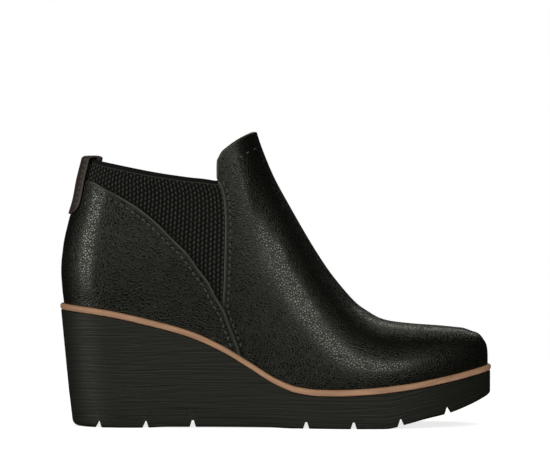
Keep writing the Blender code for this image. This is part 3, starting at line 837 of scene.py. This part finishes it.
def leather_material(name, colour, roughness=0.20):
    """Black leather with a pebble grain: rounded grains with narrow valleys, duller in the valleys.
    Where the mesh's layer called smooth is 1, the grain is pressed flat."""
    material, nodes, links, shader = new_material(name, colour, roughness)
    place = nodes.new("ShaderNodeTexCoord")
    wobble = node(nodes, "ShaderNodeTexNoise", Scale=500.0, Detail=2.0, Roughness=0.6)
    bend = nodes.new("ShaderNodeVectorMath")
    bend.operation = "MULTIPLY_ADD"
    bend.inputs[1].default_value = (GRAIN_WOBBLE,) * 3
    links.new(place.outputs["Object"], wobble.inputs["Vector"])
    links.new(wobble.outputs["Color"], bend.inputs[0])
    links.new(place.outputs["Object"], bend.inputs[2])
    cells = node(nodes, "ShaderNodeTexVoronoi", Scale=1 / GRAIN_SIZE, Randomness=1.0)
    cells.feature = "DISTANCE_TO_EDGE"
    links.new(bend.outputs["Vector"], cells.inputs["Vector"])
    tops = node(nodes, "ShaderNodeMapRange")
    tops.interpolation_type = "SMOOTHSTEP"
    tops.inputs["From Min"].default_value = 0.02
    tops.inputs["From Max"].default_value = GRAIN_VALLEY
    links.new(cells.outputs["Distance"], tops.inputs["Value"])
    patches = node(nodes, "ShaderNodeTexNoise", Scale=70.0, Detail=3.0, Roughness=0.55)
    links.new(place.outputs["Object"], patches.inputs["Vector"])
    pressed = nodes.new("ShaderNodeAttribute")
    pressed.attribute_name = "smooth"
    depth = node(nodes, "ShaderNodeMapRange")
    depth.inputs["To Min"].default_value = 1.0
    depth.inputs["To Max"].default_value = 0.25
    links.new(pressed.outputs["Fac"], depth.inputs["Value"])
    uneven = node(nodes, "ShaderNodeMapRange")
    uneven.inputs["From Min"].default_value = 0.3
    uneven.inputs["From Max"].default_value = 0.7
    uneven.inputs["To Min"].default_value = 0.8
    uneven.inputs["To Max"].default_value = 1.0
    links.new(patches.outputs["Fac"], uneven.inputs["Value"])
    strength = nodes.new("ShaderNodeMath")
    strength.operation = "MULTIPLY"
    links.new(depth.outputs["Result"], strength.inputs[0])
    links.new(uneven.outputs["Result"], strength.inputs[1])
    bump = node(nodes, "ShaderNodeBump", Distance=GRAIN_DEPTH)
    links.new(strength.outputs["Value"], bump.inputs["Strength"])
    links.new(tops.outputs["Result"], bump.inputs["Height"])
    soft = node(nodes, "ShaderNodeTexNoise", Scale=42.0, Detail=1.0)
    links.new(place.outputs["Object"], soft.inputs["Vector"])
    swell = node(nodes, "ShaderNodeBump", Strength=0.08, Distance=0.0016)
    links.new(soft.outputs["Fac"], swell.inputs["Height"])
    links.new(bump.outputs["Normal"], swell.inputs["Normal"])
    links.new(swell.outputs["Normal"], shader.inputs["Normal"])
    gloss = node(nodes, "ShaderNodeMapRange")
    gloss.inputs["To Min"].default_value = roughness + 0.35
    gloss.inputs["To Max"].default_value = roughness
    links.new(tops.outputs["Result"], gloss.inputs["Value"])
    links.new(gloss.outputs["Result"], shader.inputs["Roughness"])
    shader.inputs["Specular IOR Level"].default_value = 0.5
    return material


def plain_material(name, colour, roughness, scale=400.0, strength=0.3, depth=0.0002):
    """A matt material with a fine uneven surface."""
    material, nodes, links, shader = new_material(name, colour, roughness)
    place = nodes.new("ShaderNodeTexCoord")
    noise = node(nodes, "ShaderNodeTexNoise", Scale=scale, Detail=4.0)
    links.new(place.outputs["Object"], noise.inputs["Vector"])
    bump = node(nodes, "ShaderNodeBump", Strength=strength, Distance=depth)
    links.new(noise.outputs["Fac"], bump.inputs["Height"])
    links.new(bump.outputs["Normal"], shader.inputs["Normal"])
    shade = node(nodes, "ShaderNodeMapRange")
    shade.inputs["To Min"].default_value = max(roughness - 0.08, 0.0)
    shade.inputs["To Max"].default_value = min(roughness + 0.08, 1.0)
    links.new(noise.outputs["Fac"], shade.inputs["Value"])
    links.new(shade.outputs["Result"], shader.inputs["Roughness"])
    return material


def knit_material():
    """Elastic yarn with a little sheen where it stands out. Its base colour is painted shade in the gaps and
    the hem's low band, and a painted highlight on the raised cells and the hem's ridge.
    """
    material, nodes, links, shader = new_material("knit", (0.006, 0.006, 0.005), 0.5)
    raised = nodes.new("ShaderNodeAttribute")
    raised.attribute_name = "raised"
    # Painted shade and highlight: the base colour runs from near black where the knit lies low to a lighter
    # grey on its raised cells and the hem's ridge.
    tones = nodes.new("ShaderNodeValToRGB")
    tones.color_ramp.elements[0].position = 0.40
    tones.color_ramp.elements[0].color = (0.0006, 0.0006, 0.0005, 1.0)
    tones.color_ramp.elements[1].position = 0.85
    tones.color_ramp.elements[1].color = (0.0130, 0.0130, 0.0100, 1.0)
    links.new(raised.outputs["Fac"], tones.inputs["Fac"])
    links.new(tones.outputs["Color"], shader.inputs["Base Color"])
    gloss = node(nodes, "ShaderNodeMapRange")
    gloss.inputs["From Min"].default_value = 0.3
    gloss.inputs["From Max"].default_value = 0.9
    gloss.inputs["To Min"].default_value = 1.0
    gloss.inputs["To Max"].default_value = 0.40
    links.new(raised.outputs["Fac"], gloss.inputs["Value"])
    links.new(gloss.outputs["Result"], shader.inputs["Roughness"])
    place = nodes.new("ShaderNodeTexCoord")
    fibres = node(nodes, "ShaderNodeTexNoise", Scale=3500.0, Detail=2.0)
    links.new(place.outputs["Object"], fibres.inputs["Vector"])
    bump = node(nodes, "ShaderNodeBump", Strength=0.3, Distance=0.0001)
    links.new(fibres.outputs["Fac"], bump.inputs["Height"])
    links.new(bump.outputs["Normal"], shader.inputs["Normal"])
    return material


def wedge_material():
    """Matt black moulding with streaks that run along it, from the sole's own measure."""
    material, nodes, links, shader = new_material("wedge", (0.0062, 0.0064, 0.0042), 0.64)
    place = nodes.new("ShaderNodeUVMap")
    stretch = nodes.new("ShaderNodeMapping")
    stretch.inputs["Scale"].default_value = (30.0, 760.0, 1.0)
    links.new(place.outputs["UV"], stretch.inputs["Vector"])
    streaks = node(nodes, "ShaderNodeTexNoise", Scale=1.0, Detail=3.0, Roughness=0.55, Distortion=0.4)
    links.new(stretch.outputs["Vector"], streaks.inputs["Vector"])
    bump = node(nodes, "ShaderNodeBump", Strength=0.36, Distance=0.0012)
    links.new(streaks.outputs["Fac"], bump.inputs["Height"])
    links.new(bump.outputs["Normal"], shader.inputs["Normal"])
    tone = node(nodes, "ShaderNodeMapRange")
    tone.inputs["From Min"].default_value = 0.35
    tone.inputs["From Max"].default_value = 0.65
    tone.inputs["To Min"].default_value = 0.50
    tone.inputs["To Max"].default_value = 0.66
    links.new(streaks.outputs["Fac"], tone.inputs["Value"])
    links.new(tone.outputs["Result"], shader.inputs["Roughness"])
    return material


def welt_material():
    """The tan edge, a little uneven along its length."""
    material, nodes, links, shader = new_material("welt", (0.36, 0.205, 0.125), 0.55)
    place = nodes.new("ShaderNodeUVMap")
    stretch = nodes.new("ShaderNodeMapping")
    stretch.inputs["Scale"].default_value = (60.0, 500.0, 1.0)
    links.new(place.outputs["UV"], stretch.inputs["Vector"])
    streaks = node(nodes, "ShaderNodeTexNoise", Scale=1.0, Detail=3.0)
    links.new(stretch.outputs["Vector"], streaks.inputs["Vector"])
    tones = nodes.new("ShaderNodeValToRGB")
    tones.color_ramp.elements[0].position = 0.3
    tones.color_ramp.elements[0].color = (0.255, 0.133, 0.078, 1.0)
    tones.color_ramp.elements[1].position = 0.7
    tones.color_ramp.elements[1].color = (0.370, 0.200, 0.122, 1.0)
    links.new(streaks.outputs["Fac"], tones.inputs["Fac"])
    links.new(tones.outputs["Color"], shader.inputs["Base Color"])
    bump = node(nodes, "ShaderNodeBump", Strength=0.3, Distance=0.0002)
    links.new(streaks.outputs["Fac"], bump.inputs["Height"])
    links.new(bump.outputs["Normal"], shader.inputs["Normal"])
    return material


def plate_mesh(name, rings, material, node_slot, sharp=40.0):
    """A solid from stacked rings, capped at both ends."""
    points = [point for ring in rings for point in ring]
    count = len(rings[0])
    numbers = [list(range(k * count, (k + 1) * count)) for k in range(len(rings))]
    faces = ring_faces(numbers) + cap_faces(numbers[0]) + cap_faces(numbers[-1])
    piece = finish_mesh(name, points, faces, material, node_slot, sharp)
    return piece


def measure_sides(piece, low, round_about):
    """UVs for streaks: the distance round the shoe and the height over the tread."""
    mesh = piece.data
    layer = mesh.uv_layers.new(name="measure")
    half = SHOE_LENGTH / 2
    for loop in mesh.loops:
        x, y, z = mesh.vertices[loop.vertex_index].co
        layer.data[loop.index].uv = (round_about(x + half, y), z - low(x + half))


def make_wedge(material):
    """The wedge and platform with its cross grooves."""

    def top(x):
        return footbed(x) - WELT_THICKNESS - GAP

    def ring(share, tuck, lift=0.0):
        back = WEDGE_SETBACK + WEDGE_BACK_LEAN * (1 - share) + BACK_CORNER * tuck
        front = SHOE_LENGTH - WEDGE_SETBACK - TREAD_CORNER * tuck

        def draft(along):
            x = along * SHOE_LENGTH
            tall = (top(x) - tread(x)) * (1 - share)
            return WEDGE_SETBACK + math.tan(math.radians(WEDGE_DRAFT_DEGREES)) * tall + TREAD_CORNER * tuck

        points = plan_ring(back, front, draft, lambda x: tread(x) + (top(x) - tread(x)) * share)
        raised = []
        for x, y, z in points:
            back_part = max(1 - x / HEEL_ROUND_SEAT, 0.0)
            raised.append((x, y, z + lift * (TREAD_CORNER + (BACK_CORNER - TREAD_CORNER) * back_part)))
        return raised

    rings = []
    for k in range(5):
        angle = math.pi / 2 * k / 4
        rings.append(ring(0.0, 1 - math.sin(angle), 1 - math.cos(angle)))
    rings += [ring(share, 0.0) for share in (0.3, 0.5, 0.7, 0.85, 1.0)]
    wedge = plate_mesh("wedge_sole", rings, material, "wedge_sole")
    cutters = []
    starts = [HEEL_GROOVE_START + GROOVE_PITCH * k for k in range(HEEL_GROOVES)]
    starts += [TOE_GROOVE_START + GROOVE_PITCH * k for k in range(TOE_GROOVES)]
    for x in starts:
        floor = tread(x)
        outline = (
            (x - GROOVE_MOUTH, floor - GROOVE_DEPTH),
            (x + GROOVE_MOUTH, floor - GROOVE_DEPTH),
            (x + GROOVE_ROOF / 2, floor + GROOVE_DEPTH),
            (x - GROOVE_ROOF / 2, floor + GROOVE_DEPTH),
        )
        cutters.append((prism("groove", outline, -BALL_WIDTH, BALL_WIDTH), "DIFFERENCE"))
    cut(wedge, cutters)
    measure_sides(wedge, tread, lambda x, y: x + 0.6 * y)
    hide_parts("outsole")


def make_welt(material):
    """The tan board, round at its edge."""
    turns = 6
    radius = WELT_THICKNESS * 0.42
    rings = []
    for k in range(turns + 1):
        angle = math.pi / 2 * (1 - k / turns)
        inset = radius * (1 - math.cos(angle))
        rings.append((inset, -WELT_THICKNESS + radius * (1 - math.sin(angle))))
    for k in range(turns + 1):
        angle = math.pi / 2 * k / turns
        inset = radius * (1 - math.cos(angle))
        rings.append((inset, -radius * (1 - math.sin(angle))))
    loops = [
        plan_ring(inset, SHOE_LENGTH - inset, lambda along, i=inset: i, lambda x, d=depth: footbed(x) + d)
        for inset, depth in rings
    ]
    welt = plate_mesh("welt", loops, material, "welt")
    measure_sides(welt, footbed, lambda x, y: x + 0.6 * y)
    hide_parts("midsole")


def make_footbed(material):
    """The insole with its softly rounded edge."""
    back, front = skin_ends(0.0)
    board = UPPER_WALL + 2 * GAP
    boss = UPPER_WALL + LASTING_EDGE + GAP
    step = GAP + LASTING_THICKNESS + GAP

    def ring(inset, lift):
        def drawn_in(along):
            return margin(along) + inset

        return plan_ring(back + inset, front - inset, drawn_in, lambda x: footbed(x) + lift)

    rings = [ring(boss, GAP), ring(boss, step), ring(board, step), ring(board, step + 0.0016)]
    for k in range(1, 5):
        angle = math.pi / 2 * k / 4
        rings.append(ring(board + 0.0014 * (1 - math.cos(angle)), step + 0.0016 + 0.0014 * math.sin(angle)))
    rings.append(ring(board + 0.006, step + 0.0031))
    bed = plate_mesh("footbed", rings, material, "footbed")
    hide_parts("insole")


def fine_band(name, inset, depth, material, node_slot, lift=0.0):
    outside = skin_loops(inset, lift)
    inside = skin_loops(inset + depth, lift)
    return shell_mesh(name, outside + inside[::-1], material, node_slot)


def vamp_outline():
    """Everything in front of the gore and the quarter's edge, under the collar, seen from the side."""
    front = seam_line(GORE_FRONT, 6)
    edge = [point for point in seam_line(QUARTER_EDGE, 6) if point[1] < front[-1][1] - 0.001]
    edge = [(x - 0.004, z) for x, z in edge]
    top = seam_line(FRONT_PANEL_TOP, 6)
    far = SHOE_LENGTH + 0.02
    return front + edge + [(edge[-1][0], 0.0), (far, 0.0), (far, top[-1][1])] + top[::-1][:-1]


def make_vamp(material):
    """The vamp and front panel, one piece from side to side."""
    vamp = fine_band("vamp", 0.0, LEATHER, material, "upper_leather")
    cut(vamp, [(prism("vamp_cutter", vamp_outline(), -BALL_WIDTH, BALL_WIDTH), "INTERSECT")])
    top = seam_line(FRONT_PANEL_TOP, 6)
    layer = vamp.data.attributes.new("smooth", "FLOAT", "POINT")
    for vertex in vamp.data.vertices:
        x = vertex.co.x + SHOE_LENGTH / 2
        z = vertex.co.z
        below = min(math.dist((x, z), point) for point in top) if z > top[0][1] - HEM_DEPTH else 1.0
        layer.data[vertex.index].value = min(max((HEM_DEPTH + 0.001 - below) / 0.002, 0.0), 1.0)
    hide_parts("upper")


def make_quarter(material):
    """The heel overlay."""
    quarter = fine_band("quarter_leather", QUARTER_FACE, QUARTER_THICKNESS, material, "upper_leather")
    line = seam_line(QUARTER_EDGE, 6)
    outline = line + [(line[-1][0], 0.0), (line[0][0], 0.0)]
    cut(quarter, [(prism("quarter_cutter", outline, -BALL_WIDTH, BALL_WIDTH), "INTERSECT")])
    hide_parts("quarter")


def make_lining(material):
    """The inside of the boot, with the turned-in lasting edge."""
    outside = skin_loops(LINING_DEPTH, 0.0)
    inside = skin_loops(UPPER_WALL, LASTING_THICKNESS)
    turned = [lasting(UPPER_WALL + LASTING_EDGE, LASTING_THICKNESS), lasting(UPPER_WALL + LASTING_EDGE, 0.0)]
    lining = shell_mesh("lining", outside + inside[::-1] + turned, material, "footbed")
    wide = BALL_WIDTH
    outline = window_outline(0.0)
    cutters = [
        (prism("collar_cutter", collar_outline(), -wide, wide), "DIFFERENCE"),
        (prism("window_outer", outline, -wide, -BACK_STRIP / 2), "DIFFERENCE"),
        (prism("window_inner", outline, BACK_STRIP / 2, wide), "DIFFERENCE"),
    ]
    cut(lining, cutters)
    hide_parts("upper")


def lasting(inset, lift):
    back, front = skin_ends(0.0)
    return plan_ring(
        back + inset, front - inset, lambda along: margin(along) + inset, lambda x: footbed(x) + GAP + lift
    )


def collar_height(x):
    line = seam_line(COLLAR, 6)
    for (x0, z0), (x1, z1) in zip(line, line[1:]):
        if x0 <= x <= x1:
            return z0 + (z1 - z0) * (x - x0) / (x1 - x0)
    return line[-1][1]


def line_x(line, z):
    """Where a line that falls from point to point passes height z."""
    for (x0, z0), (x1, z1) in zip(line, line[1:]):
        if min(z0, z1) <= z <= max(z0, z1):
            return x0 + (x1 - x0) * (z - z0) / ((z1 - z0) or 1.0)
    return line[0][0] if z > line[0][1] else line[-1][0]


def knit_height(s, d):
    """Relief of the knit, 0 to 1, at s round the ankle and d below the hem (arrays):
    upright cells in staggered columns that lean to the left and to the right in turn."""
    number = np.floor(s / KNIT_WIDTH)
    odd = np.mod(number, 2)
    course = d / KNIT_HEIGHT + 0.5 * odd
    up = course - np.floor(course) - 0.5
    lean = (1 - 2 * odd) * KNIT_LEAN * up
    across = s / KNIT_WIDTH - number - 0.5 - lean
    cell = 1 - (np.abs(across) / 0.33) ** 2.0 - (np.abs(up) / 0.55) ** 2.6
    return np.maximum(cell, 0.0) ** 0.7


def spline_weights(coarse, fine):
    """Weights that draw a smooth curve through coarse even samples at fine even places."""
    weights = np.zeros((fine, coarse))
    for n in range(fine):
        at = n * (coarse - 1) / (fine - 1)
        k = min(int(at), coarse - 2)
        t = at - k
        four = (
            (-t + 2 * t * t - t**3) / 2,
            (2 - 5 * t * t + 3 * t**3) / 2,
            (t + 4 * t * t - 3 * t**3) / 2,
            (-t * t + t**3) / 2,
        )
        for offset, weight in zip((-1, 0, 1, 2), four):
            weights[n, min(max(k + offset, 0), coarse - 1)] += weight
    return weights


def gore_columns(side, probe_z, front_x):
    """Places round the ankle from the back strip to the front edge: distance gone and x, evenly spaced."""
    around = []
    along = 0.0
    while not around or around[-1][0] < front_x:
        x, y, _ = skin_place(along, probe_z, side, GORE_FACE)
        if abs(y) > BACK_STRIP / 2:
            around.append((x, y))
        along += 0.001
    return even_line(around, 0.0016)


def make_gore(name, side, material, cad_node):
    """The knitted insert of one side, its relief worked into the mesh."""
    front = seam_line(GORE_FRONT, 6)
    edge = seam_line(QUARTER_EDGE, 6)
    probe_z = HEEL_HEIGHT + 0.72 * SHAFT_HEIGHT
    columns = gore_columns(side, probe_z, front[0][0] + 0.004)
    total = sum(math.dist(p, q) for p, q in zip(columns, columns[1:]))
    first = columns[0][0]
    last = columns[-1][0]
    rows = 52
    base = np.zeros((len(columns), rows, 3))
    seen = np.zeros((len(columns), rows, 2))
    for c, (x_probe, _) in enumerate(columns):
        share = (x_probe - first) / (last - first)
        for r in range(rows):
            z = collar_height(x_probe) - GORE_REACH * r / (rows - 1)
            left = first + lean_at(z) - lean_at(probe_z)
            right = max(line_x(front, z), front[0][0]) + 0.0015
            x = left + (right - left) * share
            base[c, r] = on_skin(x, z, side, GORE_FACE)
            seen[c, r] = (x, z)
    fine_columns = int(total / KNIT_STEP)
    fine_rows = int(GORE_REACH / KNIT_STEP)
    weights_c = spline_weights(len(columns), fine_columns)
    weights_r = spline_weights(rows, fine_rows)
    points = np.einsum("ac,brk,crk->abk", weights_c, weights_r[:, :, None] * np.ones(3), base)
    flat = np.einsum("ac,brk,crk->abk", weights_c, weights_r[:, :, None] * np.ones(2), seen)
    normals = np.cross(np.gradient(points, axis=0), np.gradient(points, axis=1))
    normals /= np.maximum(np.linalg.norm(normals, axis=2, keepdims=True), 1e-12)
    normals[normals[:, :, 1] * side < 0] *= -1
    s = np.linspace(0.0, total, fine_columns)[:, None] * np.ones((1, fine_rows))
    d = np.linspace(0.0, GORE_REACH, fine_rows)[None, :] * np.ones((fine_columns, 1))
    knit = knit_height(s, np.maximum(d - GORE_HEM - 0.0006, 0.0))
    ridge = np.exp(-(((d - GORE_HEM) / 0.00032) ** 2))
    roll = np.clip(d / 0.0012, 0.0, 1.0) ** 0.5
    hem = 0.25 * roll + 0.6 * ridge
    blend = np.clip((d - GORE_HEM - 0.0004) / 0.0003, 0.0, 1.0)
    lift = KNIT_RELIEF * (hem * (1 - blend) + knit * blend)
    points = points + normals * lift[:, :, None]
    # The relief share that the knit's colour follows: painted shade where the knit is low, a painted
    # highlight on its cells and the hem's ridge.
    tone = np.clip(ridge * (1 - blend) + knit * blend, 0.0, 1.0)
    edge_z = np.array([p[1] for p in edge[::-1]])
    edge_x = np.array([p[0] for p in edge[::-1]])
    keep = flat[:, :, 0] > np.interp(flat[:, :, 1], edge_z, edge_x, right=-1.0) - QUARTER_LAP
    number = np.cumsum(keep.ravel()).reshape(keep.shape) - 1
    shown = [tuple(p) for p in points[keep]]
    whole = keep[:-1, :-1] & keep[1:, :-1] & keep[:-1, 1:] & keep[1:, 1:]
    faces = [
        (int(number[c, r]), int(number[c, r + 1]), int(number[c + 1, r + 1]), int(number[c + 1, r]))
        for c, r in zip(*np.nonzero(whole))
    ]
    gore = finish_mesh(name, shown, faces, material, "elastic", 80.0)
    if sum(face.normal.y * side for face in gore.data.polygons) < 0:
        gore.data.flip_normals()
    # This layer carries the relief share that paints shade and highlight into the knit's colour.
    layer = gore.data.attributes.new("raised", "FLOAT", "POINT")
    layer.data.foreach_set("value", tone[keep])
    solid = gore.modifiers.new("thickness", "SOLIDIFY")
    solid.thickness = 0.0006
    solid.offset = -1.0
    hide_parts(cad_node)


def make_edges(material):
    """The rolled edges of the panels and the folded top of the front panel, in a leather painted lighter than
    the panels as a painted highlight along the edges.
    """
    parts = []
    front = [p for p in seam_line(GORE_FRONT, 6)]
    top = seam_line(FRONT_PANEL_TOP, 6)
    for side in (-1, 1):
        parts.append(bead("edge", front, side, 0.0002, EDGE_RADIUS, None, None))
        edge = [p for p in seam_line(QUARTER_EDGE, 6) if p[0] > 0.0135 and p[0] < 0.104]
        parts.append(bead("edge", edge, side, QUARTER_FACE + 0.0002, EDGE_RADIUS, None, None))
    for side in (-1, 1):
        rim = [p for p in top if p[0] < SHOE_LENGTH * PEAK_ALONG - 0.0004]
        parts.append(bead("rim", rim, side, 0.0011, 0.0011, None, None, 1.0))
    edges = joined("rolled_edges", parts, material, "upper_leather")
    return edges


def make_stitches(material, shade_lens_material):
    """Every row of stitches that the photo shows, on both sides, with black lenses of painted shade at the
    holes.
    """
    rows = []
    edge = seam_line(QUARTER_EDGE, 6)
    low_edge = [p for p in lowered(edge, 0.0030) if 0.016 < p[0] < 0.098 and p[1] > 0.045]
    front = seam_line(GORE_FRONT, 6)
    ahead = [(x + 0.0023, z) for x, z in front]
    below = [p for p in lowered(edge, -0.0024) if p[1] < front[-1][1] - 0.001 and p[1] > 0.044]
    top = seam_line(FRONT_PANEL_TOP, 6)
    hem = [p for p in lowered(top, HEM_DEPTH) if p[0] > top[1][0] + 0.003]
    hem = [p for p in hem if p[0] < SHOE_LENGTH * PEAK_ALONG + 0.001]
    for side in (-1, 1):
        rows.append(stitch_row(low_edge, side, QUARTER_FACE))
        rows.append(stitch_row(ahead + below, side, 0.0))
        rows.append(stitch_row(hem, side, 0.0, 0.0042))
    joined("stitches", [part for parts, _ in rows for part in parts], material, "upper_leather")
    joined("stitch_hole_shade", [hole for _, shade_lenses in rows for hole in shade_lenses], shade_lens_material, "upper_leather")


def back_point(y, z, inset):
    low = 0.0
    high = 0.15
    side = 1 if y > 0 else -1
    for _ in range(30):
        middle = (low + high) / 2
        if abs(skin_place(middle, z, side, inset)[1]) < abs(y):
            low = middle
        else:
            high = middle
    return skin_place(low, z, side, inset)[0], y, z


def make_tab(material, thread):
    """The strip folded over the back of the collar, with a row of stitches along its edge."""
    collar = at_side(COLLAR[2])[1]
    face = -(GAP + QUARTER_THICKNESS + GAP) - TAB_THICKNESS
    low = collar - TAB_DROP
    roof = collar + GAP + TAB_THICKNESS
    inside = UPPER_WALL + GAP + TAB_THICKNESS
    inside_low = collar - TAB_INNER_DROP
    route = []
    for k in range(25):
        z = low + (roof - 0.0016 - low) * k / 24
        route.append((z, face))
    for k in range(1, 8):
        angle = math.pi * k / 8
        middle = (face + inside) / 2
        reach = (inside - face) / 2
        route.append((roof - 0.0016 + 0.0016 * math.sin(angle), middle - reach * math.cos(angle)))
    for k in range(15):
        route.append((roof - 0.0016 + (inside_low - roof + 0.0016) * k / 14, inside))
    spread = [math.sin(math.pi / 2 * (k - 10) / 10) for k in range(21)]
    points = []
    for z, inset in route:
        end = max(z - low, 0.0) if inset < 0 else 1.0
        corner = 0.006
        if end < corner:
            share = 0.62 + 0.38 * math.sqrt(max(1 - (1 - end / corner) ** 2, 0.0))
        else:
            share = 1.0
        half = TAB_WIDTH / 2 * share
        for s in spread:
            edge = max((abs(s) - 0.93) / 0.07, 0.0)
            sink = 0.0005 * edge * edge
            points.append(back_point(half * s, z, inset + (sink if inset < 0 else -sink)))
    tab = finish_mesh("tab", points, grid_faces(len(route), len(spread)), material, "tab", 60.0)
    solid = tab.modifiers.new("thickness", "SOLIDIFY")
    solid.thickness = TAB_THICKNESS * 0.8
    solid.offset = -1.0
    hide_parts("heel_tab")
    parts = []
    for side in (-1, 1):
        line = []
        for k in range(10):
            z = low + 0.004 + (roof - 0.005 - low) * k / 9
            line.append(back_point(side * (TAB_WIDTH / 2 - 0.0021), z, face))
        for p, q in zip(line, line[1:]):
            place = (Vector(p) + Vector(q)) / 2
            along = (Vector(q) - Vector(p)).normalized()
            out = Vector((-0.75, side * 0.66, 0.0)).normalized()
            out = (out - along * out.dot(along)).normalized()
            parts.append(stitch(place, along, out))
    joined("tab_stitches", parts, thread, "tab")


def make_stage():
    """A white floor round the shoe that fades into the white surroundings."""
    mesh = bpy.data.meshes.new("floor")
    work = bmesh.new()
    bmesh.ops.create_circle(work, cap_ends=True, segments=96, radius=FLOOR_RADIUS)
    work.to_mesh(mesh)
    work.free()
    floor = bpy.data.objects.new("floor", mesh)
    bpy.context.collection.objects.link(floor)
    material, nodes, links, shader = new_material("floor", (0.6, 0.6, 0.6), 0.9)
    shader.inputs["Emission Color"].default_value = (1.0, 1.0, 1.0, 1.0)
    shader.inputs["Emission Strength"].default_value = 0.80
    shader.inputs["Specular IOR Level"].default_value = 0.0
    place = nodes.new("ShaderNodeTexCoord")
    length = nodes.new("ShaderNodeVectorMath")
    length.operation = "LENGTH"
    links.new(place.outputs["Object"], length.inputs[0])
    fade_out = node(nodes, "ShaderNodeMapRange")
    fade_out.interpolation_type = "SMOOTHSTEP"
    fade_out.inputs["From Min"].default_value = 0.3 * FLOOR_RADIUS
    fade_out.inputs["From Max"].default_value = 0.95 * FLOOR_RADIUS
    fade_out.inputs["To Min"].default_value = 1.0
    fade_out.inputs["To Max"].default_value = 0.0
    links.new(length.outputs["Value"], fade_out.inputs["Value"])
    links.new(fade_out.outputs["Result"], shader.inputs["Alpha"])
    mesh.materials.append(material)
    floor.visible_glossy = False


def area_light(name, azimuth, elevation, distance, width, height, power, glossy=True):
    """A softbox in the given direction from the shoe: azimuth 0 is the camera's side, 90 the toe's."""
    across = math.cos(math.radians(elevation)) * distance
    place = Vector(
        (
            across * math.sin(math.radians(azimuth)),
            -across * math.cos(math.radians(azimuth)),
            distance * math.sin(math.radians(elevation)),
        )
    )
    lamp = bpy.data.lights.new(name, "AREA")
    lamp.shape = "RECTANGLE"
    lamp.size = width
    lamp.size_y = height
    lamp.energy = power
    lamp.color = LIGHT_TINT
    light = bpy.data.objects.new(name, lamp)
    light.location = place + Vector(LIGHT_AIM)
    light.rotation_mode = "QUATERNION"
    light.rotation_quaternion = (-place).to_track_quat("-Z", "Y")
    light.visible_camera = False
    light.visible_glossy = glossy
    bpy.context.collection.objects.link(light)


def make_lights():
    """Softboxes where the photograph's highlights come from."""
    area_light("overhead", 0, 89, 1.5, 2.2, 2.0, OVERHEAD_POWER, glossy=False)
    area_light("key", 12, 30, 1.8, 1.5, 0.8, KEY_POWER)
    area_light("left", -64, 9, 1.6, 0.75, 0.6, LEFT_POWER)
    area_light("rim", 174, 30, 1.8, 1.4, 0.4, RIM_POWER)
    world = bpy.data.worlds.new("world")
    world.use_nodes = True
    nodes = world.node_tree.nodes
    links = world.node_tree.links
    seen = nodes["Background"]
    seen.inputs["Color"].default_value = (1.0, 1.0, 1.0, 1.0)
    seen.inputs["Strength"].default_value = 1.0
    lit = nodes.new("ShaderNodeBackground")
    lit.inputs["Color"].default_value = (1.0, 1.0, 1.0, 1.0)
    lit.inputs["Strength"].default_value = ROOM_LIGHT
    path = nodes.new("ShaderNodeLightPath")
    mix = nodes.new("ShaderNodeMixShader")
    links.new(path.outputs["Is Camera Ray"], mix.inputs["Fac"])
    links.new(lit.outputs["Background"], mix.inputs[1])
    links.new(seen.outputs["Background"], mix.inputs[2])
    links.new(mix.outputs["Shader"], nodes["World Output"].inputs["Surface"])
    bpy.context.scene.world = world
    bpy.context.scene.view_settings.view_transform = "Standard"


FLOOR_RADIUS = 1.0
LIGHT_AIM = (0.0, 0.0, 0.09)
OVERHEAD_POWER = 15.0
LIGHT_TINT = (0.99, 1.0, 0.86)
KEY_POWER = 15.5
LEFT_POWER = 8.5
RIM_POWER = 2.4
ROOM_LIGHT = 0.01
CAMERA_DISTANCE = 3.0
CAMERA_ELEVATION = 1.0
FRAME_WIDTH = 0.3139  # what the picture is wide at the shoe
CAMERA_AIM = (-0.0005, 0.0, 0.1143)


def make_camera():
    camera = bpy.data.cameras.new("camera")
    camera.sensor_width = 36.0
    camera.lens = camera.sensor_width * CAMERA_DISTANCE / FRAME_WIDTH
    camera.clip_start = 0.05
    camera.clip_end = 50.0
    view = bpy.data.objects.new("camera", camera)
    rise = math.radians(CAMERA_ELEVATION)
    back = Vector((0.0, -math.cos(rise), math.sin(rise)))
    view.location = Vector(CAMERA_AIM) + back * CAMERA_DISTANCE
    view.rotation_mode = "QUATERNION"
    view.rotation_quaternion = (-back).to_track_quat("-Z", "Y")
    bpy.context.collection.objects.link(view)
    bpy.context.scene.camera = view


BLACK = (0.0024, 0.0025, 0.0016)
make_camera()
make_stage()
make_lights()
leather = leather_material("leather", BLACK)
# The rolled edges' leather: smoother, and ten times lighter than the panels' black as a painted highlight
# along the edges.
edge_leather_painted_highlight = plain_material("leather_edge_painted_highlight", (0.024, 0.024, 0.021), 0.38, 900.0, 0.2)
# The thread's grey, far lighter than the leather's black, is partly its own colour and partly a painted
# highlight on the stitches.
thread = plain_material("thread", (0.045, 0.045, 0.040), 0.42, 2000.0, 0.3)
knit = knit_material()
lining = plain_material("lining", (0.02, 0.019, 0.018), 0.85, 1500.0, 0.5)
tab_leather = plain_material("tab_leather", (0.034, 0.022, 0.021), 0.5, 500.0, 0.3)

make_wedge(wedge_material())
make_welt(welt_material())
make_footbed(lining)
make_lining(lining)
make_vamp(leather)
make_quarter(leather)
make_gore("gore_knit_outer", -1, knit, "gore_outer")
make_gore("gore_knit_inner", 1, knit, "gore_inner")
make_edges(edge_leather_painted_highlight)
# The stitch holes' shade is painted: near-black lenses laid on the leather.
make_stitches(thread, plain_material("hole", (0.001, 0.001, 0.001), 0.9))
make_tab(tab_leather, thread)
